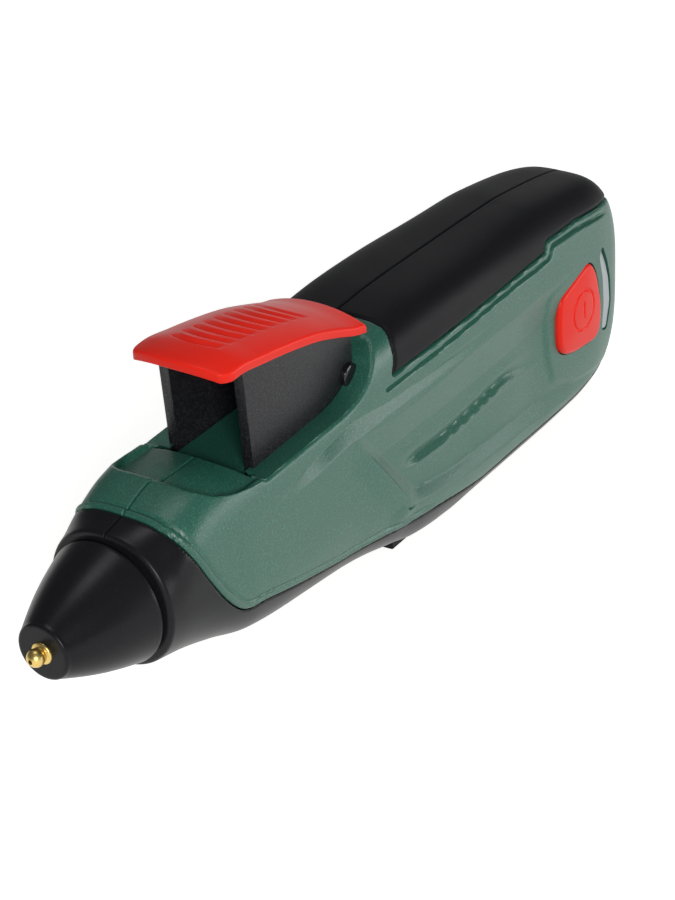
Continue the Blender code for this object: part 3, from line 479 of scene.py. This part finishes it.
def red_abs():
    """Red ABS with a semi-gloss moulded skin: saturated, with a pale soft sheen where it curves away."""
    return finish("moulded_ABS_red", colour(colours().red), 0.38, glint_speck_share=0.3, grain=0.35, height=0.012,
                  contrast=0.12, ior=1.3)


def turned_brass():
    """Turned brass: warm yellow metal with a fine grain."""
    return finish("turned_brass", colour(colours().brass), 0.36, glint_speck_share=0.3, grain=0.25, height=0.006,
                  metallic=1.0, contrast=0.15)


# ------------------------------------------------------------------ housing
def skin(x, s, inset):
    """Half of the outer body, `inset` below its surface, from the top seam (s = 0) to the bottom seam
    (s = 1). At polar angle a = pi s the point is (width r sin a, middle + rise r cos a), where
    r = (|sin a|^n + |cos a|^n)^(-1/n) makes a super-ellipse whose power n differs above and below the
    middle. The thumb deck is let into its top, and its belly is flat."""
    width, middle = smooth(x, HALF_WIDTH) - inset, smooth(x, WIDEST)
    top, bottom = smooth(x, TOP) - inset - middle, middle - smooth(x, BOTTOM) - inset
    sine, cosine = np.sin(np.pi * s), np.cos(np.pi * s)
    power = np.where(cosine > 0, smooth(x, ROUND_TOP), smooth(x, ROUND_BOTTOM))
    reach = (np.abs(sine) ** power + np.abs(cosine) ** power) ** (-1 / power)
    y = width * reach * sine
    z = middle + np.where(cosine > 0, top, bottom) * reach * cosine
    deck = DECK_CENTRE - inset - DECK_FALL * (y / DECK_SIDE) ** 2 + 1.3 * ease((y - 11.9) / 1.7)
    start = smooth(y, DECK_START)
    share = ease((x - start) / 3.4) * (1 - ease((x - 53.3) / 1.7))
    z = np.where(z > middle, z - share * np.maximum(z - deck, 0), z)
    return np.broadcast_to(x, y.shape), y, np.maximum(z, inset - AXIS_HEIGHT)


def reach_along(field, points):
    """Distance along the surface to where the field is zero: the field over the size of its slope."""
    pu, pv = np.gradient(points, axis=0), np.gradient(points, axis=1)
    fu, fv = np.gradient(field)
    e, f, g = (pu * pu).sum(-1), (pu * pv).sum(-1), (pv * pv).sum(-1)
    slope = (fu ** 2 * g - 2 * fu * fv * f + fv ** 2 * e) / np.maximum(e * g - f * f, 1e-9)
    return field / np.sqrt(np.clip(slope, 0.04, 4.0))


def roll(distance, radius):
    """Depth of a quarter-round edge at this distance from it."""
    t = np.clip(np.abs(distance) / radius, 0, 1)
    return radius * (1 - np.sqrt(1 - (1 - t) ** 2))


def groove(distance, half, depth):
    """Depth of a round-bottomed groove."""
    return depth * np.exp(-(distance / half) ** 2)


SIDE = 6.0                      # the sides are styled beyond this distance from the seam
SEAM_OVERLAP = 2.0              # how far the hollow reaches past the seam


def styling(points, size):
    """Depth below the plain skin of everything that is moulded into the sides: rolled edges along the parting
    lines, the collar's bead, the stepped shoulder, the set-back rear panel and its grooves."""
    x, y, z = points[..., 0], points[..., 1], points[..., 2]
    nose = reach_along(away_from(x, z, filleted(NOSE_LINE, 3.0)), points)
    grip = reach_along(away_from(x, z, filleted(GRIP_LINE, 0.9)), points)
    well = reach_along(away_from(x, z, filleted(WELL_LINE, 1.6)), points)
    high = z > 8
    clear = size.gap / 2
    depth = roll(np.abs(nose) - clear, size.edge)
    depth += np.where(high, roll(np.abs(grip) - clear, np.where(grip > 0, 2.2, 1.0) * size.edge), 0)
    depth += np.where(high & (x < 101), 0.7 * roll(well, 1.0), 0)
    depth += roll(y, 0.35) + roll(x - 23.2, 1.0) + roll(LENGTH - x, 1.6)
    # bead along the collar, with a fine line behind it
    depth -= size.bead * ease(1 - np.abs(nose - 0.95) / 0.95) * (nose > 0) * (1 - ease((x - 104) / 10))
    depth += groove(nose - 1.75, 0.34, 0.28) * (1 - ease((x - 104) / 10))
    # step under the shoulder: deepest just below the valley line, back to the skin at the crease
    over, under = smooth(x, VALLEY_LINE), smooth(x, CREASE_LINE)
    fall = np.clip((z - under) / np.maximum(over - under, 0.3), 0, 1) * ease((over + 1.2 - z) / 1.4)
    share = ease((x - 55.4) / 20) * (1 - ease((x - 96) / 40))
    depth += size.valley * share * fall * (y > SIDE)
    # rear panel, set back between its outer and inner outlines, more so lower down
    outer = away_from(x, z, filleted(STEP_OUTER, 1.2, closed=True), True)
    inner = away_from(x, z, filleted(STEP_INNER, 1.2, closed=True), True)
    across = np.clip(-outer / np.maximum(-outer + inner, 0.2), 0, 1)
    across = np.where(inner < 0, 1.0, np.where(outer > 0, 0.0, across))
    lower = np.clip((7.8 - z) / 9.0, 0, 1) * (1 - ease((x - 150) / 34))
    depth += size.panel * across * lower * (y > SIDE)
    # swelling up to the sharp front edge of that panel
    leg = away_from(x, z, STEP_OUTER[:5])
    depth -= size.swell * ease(1 - np.abs(leg) / 6.0) * (outer > 0) * ease((6.5 - z) / 9) * (y > SIDE)
    # pointed groove between two raised lips
    lash = z - smooth(x, LASH_LINE)
    share = ease((x - 98.5) / 9) * (1 - ease((x - 138) / 18)) * (y > SIDE)
    depth += size.lash * share * np.interp(lash, (-3.0, -1.8, -0.4, 1.8, 2.6, 3.9), (0, -0.2, 1, 0, -0.25, 0))
    # trim groove under the grip
    trim = away_from(x, z, filleted(TRIM_LINE, 1.5))
    depth += groove(trim, 0.36, size.trim) * ease((x - 93) / 1.2) * (1 - ease((x - 182) / 6)) * (y > SIDE)
    # pad round the button
    pad = away_from(x, z, filleted(PAD_OUTLINE, 1.5, closed=True), True)
    share = ease((x - 140) / 18) * (1 - ease((x - 188) / 5)) * (1 - ease((z - 4) / 5)) * ease((z + 27) / 5)
    depth += 0.5 * (1 - ease((1.6 - pad) / 2.0)) * share * (y > SIDE)
    return depth


def half_solid(x, s, inset, seam_y, size=None):
    """Closed solid of one half of the body, on the +y side: the skin, a flat seam face and two ends. With
    `size` given, the skin carries its moulded styling."""
    outer = np.stack(skin(x[:, None], s[None, :], inset), -1)
    if size is not None:
        normal = np.cross(np.gradient(outer, axis=1), np.gradient(outer, axis=0))
        normal /= np.maximum(np.linalg.norm(normal, axis=-1, keepdims=True), 1e-9)
        normal *= np.where((normal * (outer * (0, 1, 1) + (0, 0, 4))).sum(-1, keepdims=True) < 0, -1, 1)
        normal[:, (0, -1), 1] = 0
        outer = outer - normal * styling(outer, size)[..., None]
    outer[..., 1] = np.maximum(outer[..., 1], 0) + seam_y
    outer[:, (0, -1), 1] = seam_y if size is not None else -SEAM_OVERLAP
    rows, columns = outer.shape[:2]
    faces = [tuple(f) for f in grid(rows, columns).tolist()]
    i = np.arange(rows - 1) * columns
    faces += [tuple(f) for f in np.stack((i + columns - 1, i + 2 * columns - 1, i + columns, i), 1).tolist()]
    faces += [tuple(range(columns)), tuple(range(rows * columns - 1, (rows - 1) * columns - 1, -1))]
    return outer.reshape(-1, 3), faces


def spaced(*spans):
    """Stations from (start, step) pairs up to the last start."""
    parts = [np.linspace(a, b, max(2, round((b - a) / step)), endpoint=False)
             for (a, step), (b, _) in zip(spans[:-1], spans[1:])]
    return np.concatenate(parts + [[spans[-1][0]]])


class GLUEGUN_OT_housing(bpy.types.Operator):
    """Green shells, black collar and belly, and soft grip, each in two halves"""
    bl_idname = "glue_gun.housing"
    bl_label = "Housing"

    def execute(self, context):
        size = sizes()
        x = spaced((23.2, 0.2), (24.6, 0.34), (54, 0.55), (84, 0.3), (102, 0.5), (156, 0.45), (191, 0.28),
                   (195, 0))
        seam = np.array((0.0, 0.0016, 0.0038, 0.0066, 0.0105))
        round_it = spaced((0.015, 0.0045), (0.2, 0.0026), (0.46, 0.0033), (0.74, 0.006), (0.985, 0))
        s = np.concatenate((seam, round_it, 1 - seam[::-1]))
        points, faces = half_solid(x, s, 0.0, size.gap / 3, size)
        hollow, hollow_faces = half_solid(spaced((22.0, 1.5), (196.5, 0)), np.linspace(0, 1, 60),
                                          size.wall + size.panel, 0.0)
        nose, grip = filleted(NOSE_LINE, 3.0), filleted(GRIP_LINE, 0.9)
        half = size.gap / 2
        green_line, black_line = shifted(nose, half), shifted(nose, -half)
        under_grip, over_grip = shifted(grip, -half), shifted(grip, half)
        outlines = {
            "shell": np.vstack((green_line, under_grip[::-1])),
            "chassis": np.vstack(([(10, 60)], black_line, [(200, -60), (10, -60)])),
            "grip": np.vstack((over_grip, [(200, 60), (95.6, 60)])),
        }
        bow = np.linspace(-WELL_HALF, WELL_HALF, 31)
        front = WELL_FRONT + WELL_BOW * (bow / WELL_HALF) ** 2
        finishes = {"shell": (green_abs(), "green_plastic"), "chassis": (black_abs(), "black_plastic"),
                    "grip": (grip_rubber(), "black_grip")}
        for side, word in ((LEFT, "left"), (RIGHT, "right")):
            turned = points * (1, side, 1)
            for kind, outline in outlines.items():
                steps = [("DIFFERENCE", mesh_from("hollow", hollow * (1, side, 1), hollow_faces)),
                         ("INTERSECT", prism("region", outline, -40, 40))]
                if kind == "shell":
                    steps.append(("DIFFERENCE", prism("well", filleted(WELL_LINE, 1.6), -30, 30)))
                    back = [(55, WELL_HALF), (55, -WELL_HALF)]
                    plan = np.vstack((np.column_stack((front, bow)), back))
                    steps.append(("DIFFERENCE", prism("well_front", plan, 8.0, 40.0, "z")))
                    if side == LEFT:
                        hole = shifted(filleted(BUTTON_OUTLINE, 2.2, closed=True), -0.25, True)
                        steps.append(("DIFFERENCE", prism("button_hole", hole, -30, -11.5)))
                        slot = shifted(filleted(LIGHT_OUTLINE, 1.2, closed=True), -0.15, True)
                        steps.append(("DIFFERENCE", prism("light_hole", slot, -30, -9)))
                mesh = trimmed(mesh_from(f"{kind}_{word}", turned, faces), steps)
                material, slot_name = finishes[kind]
                piece(f"{kind}_{word}_skin", shade(mesh), material, "housing", slot_name, f"{kind}_{word}")
        return {"FINISHED"}


class GLUEGUN_OT_nose(bpy.types.Operator):
    """Heat guard cone and the brass nozzle"""
    bl_idname = "glue_gun.nose"
    bl_label = "Nose"

    def execute(self, context):
        t = np.linspace(0, 1, 40)
        bulge = 0.55 * np.sin(np.pi * t)
        lip = np.linspace(0, np.pi / 2, 8)
        face = np.column_stack((3.6 + 0.7 * (1 - np.cos(lip)), 5.05 + 0.75 * np.sin(lip)))
        side = np.column_stack((4.3 + 17.6 * t, 5.8 + 6.98 * t + bulge))[1:]
        edge = np.column_stack((21.9 + 0.7 * np.sin(lip), 12.3 + 0.48 * np.cos(lip)))[1:]
        inside = [(27.0, 11.6), (27.0, 10.4), (21.9, 11.0), (6.6, 4.9), (5.8, 2.55)]
        outline = np.vstack(([(3.6, 2.55)], [(3.6, 4.6)], face, side, edge, [(22.6, 11.6)], inside))
        cone = lathe("cone", outline, 128)
        piece("nose_cone", shade(cone, 40), black_abs(), "housing", "black_plastic", "nozzle_cone")
        a = np.radians(np.linspace(18, 118, 18))
        ball = np.column_stack((1.85 - 1.75 * np.cos(a), 1.75 * np.sin(a)))
        outline = np.vstack(([(1.4, 0.45), (0.25, 0.45)], ball, [(2.85, 1.5), (3.0, 1.53), (3.12, 1.75),
                            (3.2, 2.05), (3.32, 2.18), (3.5, 2.25), (4.4, 2.25), (4.6, 2.25), (4.6, 2.25),
                            (13.4, 2.25), (13.4, 1.25), (2.4, 1.2)]))
        tip = lathe("tip", outline, 96)
        piece("nozzle_tip", shade(tip, 28), turned_brass(), "housing", "brass", "nozzle")
        return {"FINISHED"}


def cap_top(x, y, size):
    """Top of the cap: its side line, drooping as |y|^2.2 towards both edges, less the crescent grooves. Each
    groove bows forward at the middle, and its front wall is steeper than its rear one."""
    z = smooth(x, CAP_LINE) - CAP_DROOP * (np.abs(y) / CAP_HALF) ** 2.2
    for number in range(9):
        reach = 5.6 + 0.05 * number
        middle = 53.4 + 3.25 * number
        behind = x - (middle + 0.045 * y ** 2)
        fade = np.sqrt(np.clip(1 - (y / reach) ** 2, 0, 1))
        shape = np.where(behind < 0, np.clip(1 + behind / 0.35, 0, 1), np.clip(1 - behind / 1.9, 0, 1))
        z = z - size.cap_groove * fade * shape
    return z


class GLUEGUN_OT_lever(bpy.types.Operator):
    """Red finger lever cap with its crescent grooves, black forked arm and pivot bosses"""
    bl_idname = "glue_gun.lever"
    bl_label = "Lever"

    def execute(self, context):
        size = sizes()
        rows, columns = 280, 90
        u = np.linspace(0, 1, rows)[:, None]
        v = np.linspace(-1, 1, columns)[None, :]
        x = CAP_FRONT + (CAP_REAR - CAP_FRONT) * u + 0 * v
        front = np.sqrt(np.clip(1 - np.clip((49.8 - x) / 3.2, 0, 1) ** 2, 0, 1))
        half = CAP_HALF - 1.9 + 1.9 * front + 0.3 * ease((x - 80) / 13)
        y = half * np.sin(v * np.pi / 2 * 0.98) / math.sin(np.pi / 2 * 0.98)
        rim = np.minimum.reduce([(1 - np.abs(y) / half) * half, x - CAP_FRONT, CAP_REAR - x])
        x = x + CAP_BOW * (y / CAP_HALF) ** 2 * (1 - u) ** 4
        z = cap_top(x, y, size)
        soft = roll(rim, 0.5)
        top = np.stack((x, y, z - soft), -1)
        under_z = smooth(x, CAP_LINE) - CAP_DROOP * (np.abs(y) / CAP_HALF) ** 2.2 - size.cap_thickness
        under = np.stack((x, y, under_z + 0.6 * roll(rim, 0.4)), -1)
        deep = rows * columns
        faces = [grid(rows, columns), grid(rows, columns, deep, flipped=True)]
        edge = np.concatenate((np.arange(columns), np.arange(1, rows) * columns + columns - 1,
                               (rows - 1) * columns + np.arange(columns - 2, -1, -1),
                               np.arange(rows - 2, 0, -1) * columns))
        after = np.roll(edge, -1)
        faces.append(np.stack((edge, after, after + deep, edge + deep), 1))
        points = np.vstack((top.reshape(-1, 3), under.reshape(-1, 3)))
        cap = mesh_from("cap", points, np.vstack(faces))
        piece("lever_cap_red", shade(cap, 40), red_abs(), "lever", "red_plastic", "lever_cap")

        arm = frame["nodes"]["lever_arm"].data.copy()
        merged(arm)
        thing = piece("lever_arm_fork", arm, painted_glint_black(), "lever", "black_plastic", "lever_arm")
        settled(rounded(thing, 0.3, 3, 28))
        shade(thing.data, 30)

        t = np.linspace(0, np.pi / 2, 14)
        dome = np.column_stack((10.75 + 0.45 * np.sin(t), 0.2 + 2.2 * np.cos(t)))
        dome = np.vstack(([(9.9, 0.2), (9.9, 2.4)], dome))
        hinge = next(row for row in frame["joints"] if row["name"] == "lever_hinge")
        pivot = np.array(hinge["pos_m"]) / MM + (LENGTH / 2, 0.0, -AXIS_HEIGHT)
        for side, word in ((LEFT, "left"), (RIGHT, "right")):
            boss = lathe("boss", dome * (side, 1), 48, pivot, "y")
            piece(f"pivot_boss_{word}", shade(boss, 40), polished_black(), "lever", "black_plastic")
        return {"FINISHED"}


def merged(mesh):
    """Weld a copied CAD mesh's loose triangles."""
    work = bmesh.new()
    work.from_mesh(mesh)
    bmesh.ops.remove_doubles(work, verts=work.verts, dist=1e-6)
    bmesh.ops.dissolve_limit(work, angle_limit=math.radians(1), verts=work.verts, edges=work.edges)
    work.to_mesh(mesh)
    work.free()
    if "custom_normal" in mesh.attributes:
        mesh.attributes.remove(mesh.attributes["custom_normal"])
    return mesh


def pillow(name, outline, centre, face, back, crown, edge, cuts=None):
    """A moulded button: rings of the outline drawn in towards the centre, rising by crown (1 - r^2) from a
    rounded edge; behind the edge a straight side runs back. `cuts` gives the depth engraved at (x, z)."""
    loop = np.array(outline, float)
    r = 1 - np.linspace(0, 1, 70)[:-1] ** 1.15
    ring = centre + (loop[None] - centre) * r[:, None, None]
    rim = (1 - r[:, None]) * np.linalg.norm(loop - centre, axis=1)[None, :] * 0.8
    y = face - crown * (1 - r[:, None] ** 2) + roll(rim, edge)
    tip = np.array([[centre[0], face - crown, centre[1]]])
    if cuts:
        y = y + cuts(ring[..., 0], ring[..., 1])
        tip[:, 1] += cuts(tip[:, 0], tip[:, 2])
    rings = np.stack((ring[..., 0], y, ring[..., 1]), -1)
    side = np.stack((loop[:, 0], np.full(len(loop), back), loop[:, 1]), -1)
    points = np.vstack((side, rings.reshape(-1, 3), tip))
    n, rows = len(loop), len(rings) + 1
    last = (rows - 1) * n
    faces = [tuple(f) for f in grid(rows, n, around=True)]
    faces += [(last + j, last + (j + 1) % n, rows * n) for j in range(n)]
    faces.append(tuple(range(n - 1, -1, -1)))
    return mesh_from(name, points, faces)


class GLUEGUN_OT_button(bpy.types.Operator):
    """Red power button with its engraved symbol, and the light window beside it"""
    bl_idname = "glue_gun.button"
    bl_label = "Power button and window"

    def execute(self, context):
        size = sizes()
        centre = np.array(BUTTON_CENTRE)

        def symbol(x, z):
            """Depth of a ring and an upright bar cut 0.45 mm wide."""
            dx, dz = x - centre[0], z - centre[1] - 0.2
            ring = np.abs(np.hypot(dx, dz) - SYMBOL_RADIUS)
            bar = np.hypot(dx, np.maximum(np.abs(dz) - SYMBOL_BAR, 0))
            return size.symbol * ease((0.36 - np.minimum(ring, bar)) / 0.24)

        outline = filleted(BUTTON_OUTLINE, 2.2, closed=True, count=10)
        mesh = pillow("button", outline, centre, -16.0, -12.4, size.button_crown, 0.8, symbol)
        piece("power_button_red", shade(mesh, 50), red_abs(), "button", "red_plastic", "power_button")
        window = filleted(LIGHT_OUTLINE, 1.2, closed=True)
        mesh = pillow("window", window, window.mean(0), -14.6, -12.0, 0.1, 0.3)
        piece("light_window", shade(mesh, 50), window_plastic(), "housing", "grey_window", "light_guide")
        return {"FINISHED"}


def window_plastic():
    """Frosted polycarbonate: pale grey with a soft gloss."""
    return finish("frosted_polycarbonate", colour(colours().window), 0.3, glint_speck_share=0.2, grain=0.4, height=0.01,
                  contrast=0.1)


class GLUEGUN_OT_carried(bpy.types.Operator):
    """Finishes of the CAD pieces that are shown as they are"""
    bl_idname = "glue_gun.carried"
    bl_label = "Other pieces"

    def execute(self, context):
        record = {row["node"]: row["material_slot"] for row in frame["record"]["subparts"]}
        plain = {
            "black_plastic": black_abs, "black_grip": grip_rubber, "green_plastic": green_abs,
            "red_plastic": red_abs, "brass": turned_brass, "grey_window": window_plastic,
            "steel": lambda: finish("zinc_plated_steel", colour("a9abad"), 0.34, metallic=1.0, contrast=0.2),
            "aluminium": lambda: finish("die_cast_aluminium", colour("b4b6b8"), 0.42, grain=0.8, height=0.03,
                                        metallic=1.0, contrast=0.2),
            "ceramic": lambda: finish("sintered_ceramic", colour("d8d2c2"), 0.7, grain=0.5, height=0.03),
            "silicone": lambda: finish("moulded_silicone", colour("a2412f"), 0.55, grain=0.6),
            "nylon": lambda: finish("natural_nylon", colour("d6cfb8"), 0.45, grain=0.5),
            "board": lambda: finish("solder_resist", colour("1f5a33"), 0.35, grain=0.7, height=0.01),
            "cell_wrap": lambda: finish("shrink_film", colour("3a62a8"), 0.25, grain=2.0, height=0.01),
            "led": lambda: finish("clear_resin", colour("a8e0a4"), 0.15, grain=1.0, height=0.0),
            "lead_red": lambda: finish("red_PVC", colour("b3241c"), 0.4, grain=0.5),
            "lead_black": lambda: finish("black_PVC", colour("1c1c1c"), 0.4, grain=0.5),
        }
        for name, thing in frame["nodes"].items():
            if thing.hide_render:
                continue
            made = plain[record[name]]()
            if not thing.material_slots:
                thing.data.materials.append(made)
            for place in thing.material_slots:
                place.material = made
        return {"FINISHED"}


# name, place in m, the point it faces, power in W, width and height in m
LAMPS = (("key", (-0.70, -0.60, 0.42), (0.0, 0.0, 0.03), 6.0, 0.3, 0.26),
         ("horizon", (0.60, -0.86, 0.13), (0.0, 0.0, 0.03), 3.8, 0.8, 0.2),
         ("back", (0.85, 0.50, 0.30), (0.0, 0.0, 0.05), 0.45, 0.6, 0.2),
         ("overhead", (0.0, 0.10, 1.05), (0.0, 0.0, 0.03), 1.5, 0.3, 0.3))
LENS = 102.16                   # focal length for a 36 mm sensor, mm
CAMERA_PLACE = (-0.36973, -0.26127, 0.28694)
# the camera's right, up and backward directions
CAMERA_TURN = ((0.5527, -0.8320, -0.0498), (0.4394, 0.2396, 0.8656), (-0.7083, -0.5002, 0.4982))


class GLUEGUN_OT_stage(bpy.types.Operator):
    """Pale floor, soft lights and the camera"""
    bl_idname = "glue_gun.stage"
    bl_label = "Stage"

    def execute(self, context):
        scene = bpy.context.scene
        mesh = bpy.data.meshes.new("floor")
        reach = 6.0
        mesh.from_pydata([(-reach, -reach, -0.0002), (reach, -reach, -0.0002), (reach, reach, -0.0002),
                          (-reach, reach, -0.0002)], [], [(0, 1, 2, 3)])
        floor = bpy.data.objects.new("floor", mesh)
        scene.collection.objects.link(floor)
        paper = bpy.data.materials.new("studio_paper")
        paper.use_nodes = True
        shader = paper.node_tree.nodes["Principled BSDF"]
        place = add(paper.node_tree, "ShaderNodeTexCoord")
        fibre = add(paper.node_tree, "ShaderNodeTexNoise", {"Vector": (place, "Object"), "Scale": 900.0})
        bump = add(paper.node_tree, "ShaderNodeBump", {"Height": (fibre, "Fac"), "Distance": 0.00002})
        paper.node_tree.links.new(bump.outputs["Normal"], shader.inputs["Normal"])
        shader.inputs["Base Color"].default_value = colour(colours().floor)
        shader.inputs["Roughness"].default_value = 0.9
        shader.inputs["Emission Color"].default_value = colour(colours().floor)
        shader.inputs["Emission Strength"].default_value = 0.80
        mesh.materials.append(paper)
        floor.visible_diffuse = False

        world = bpy.data.worlds.new("studio")
        scene.world = world
        world.use_nodes = True
        world.node_tree.nodes["Background"].inputs["Color"].default_value = colour("f2f4f8")
        world.node_tree.nodes["Background"].inputs["Strength"].default_value = 0.13

        def lamp(name, place, aim, power, wide, high):
            """An area light at a place, aimed at a point."""
            light = bpy.data.lights.new(name, "AREA")
            light.shape = "RECTANGLE"
            light.size, light.size_y = wide, high
            light.energy = power
            thing = bpy.data.objects.new(name, light)
            scene.collection.objects.link(thing)
            direction = Vector(aim) - Vector(place)
            thing.matrix_world = (Matrix.Translation(place)
                                  @ direction.to_track_quat("-Z", "Y").to_matrix().to_4x4())

        for row in LAMPS:
            lamp(*row)

        view = bpy.data.cameras.new("camera")
        view.lens = LENS
        view.sensor_width = 36.0
        view.clip_start = 0.01
        camera = bpy.data.objects.new("camera", view)
        scene.collection.objects.link(camera)
        turn = Matrix(CAMERA_TURN).transposed().to_4x4()
        camera.matrix_world = Matrix.Translation(CAMERA_PLACE) @ turn
        scene.camera = camera
        scene.view_settings.view_transform = "Standard"
        return {"FINISHED"}


OPERATORS = (GLUEGUN_OT_housing, GLUEGUN_OT_nose, GLUEGUN_OT_lever, GLUEGUN_OT_button, GLUEGUN_OT_carried,
             GLUEGUN_OT_stage)


class GLUEGUN_PT_panel(bpy.types.Panel):
    """Glue gun builder"""
    bl_label = "Glue Gun"
    bl_idname = "GLUEGUN_PT_panel"
    bl_space_type = "VIEW_3D"
    bl_region_type = "UI"
    bl_category = "Glue Gun"

    def draw(self, context):
        for group in (context.scene.glue_gun_sizes, context.scene.glue_gun_colours):
            for key in type(group).__annotations__:
                self.layout.prop(group, key)
        for kind in OPERATORS:
            self.layout.operator(kind.bl_idname)


CLASSES = (GlueGunSizes, GlueGunColours) + OPERATORS + (GLUEGUN_PT_panel,)


def register():
    for kind in CLASSES:
        bpy.utils.register_class(kind)
    bpy.types.Scene.glue_gun_sizes = bpy.props.PointerProperty(type=GlueGunSizes)
    bpy.types.Scene.glue_gun_colours = bpy.props.PointerProperty(type=GlueGunColours)


def unregister():
    del bpy.types.Scene.glue_gun_sizes
    del bpy.types.Scene.glue_gun_colours
    for kind in reversed(CLASSES):
        bpy.utils.unregister_class(kind)


def main():
    """Build everything."""
    register()
    bpy.ops.glue_gun.housing()
    bpy.ops.glue_gun.nose()
    bpy.ops.glue_gun.lever()
    bpy.ops.glue_gun.button()
    bpy.ops.glue_gun.carried()
    bpy.ops.glue_gun.stage()
    bpy.context.view_layer.update()


if __name__ == "__main__":
    main()
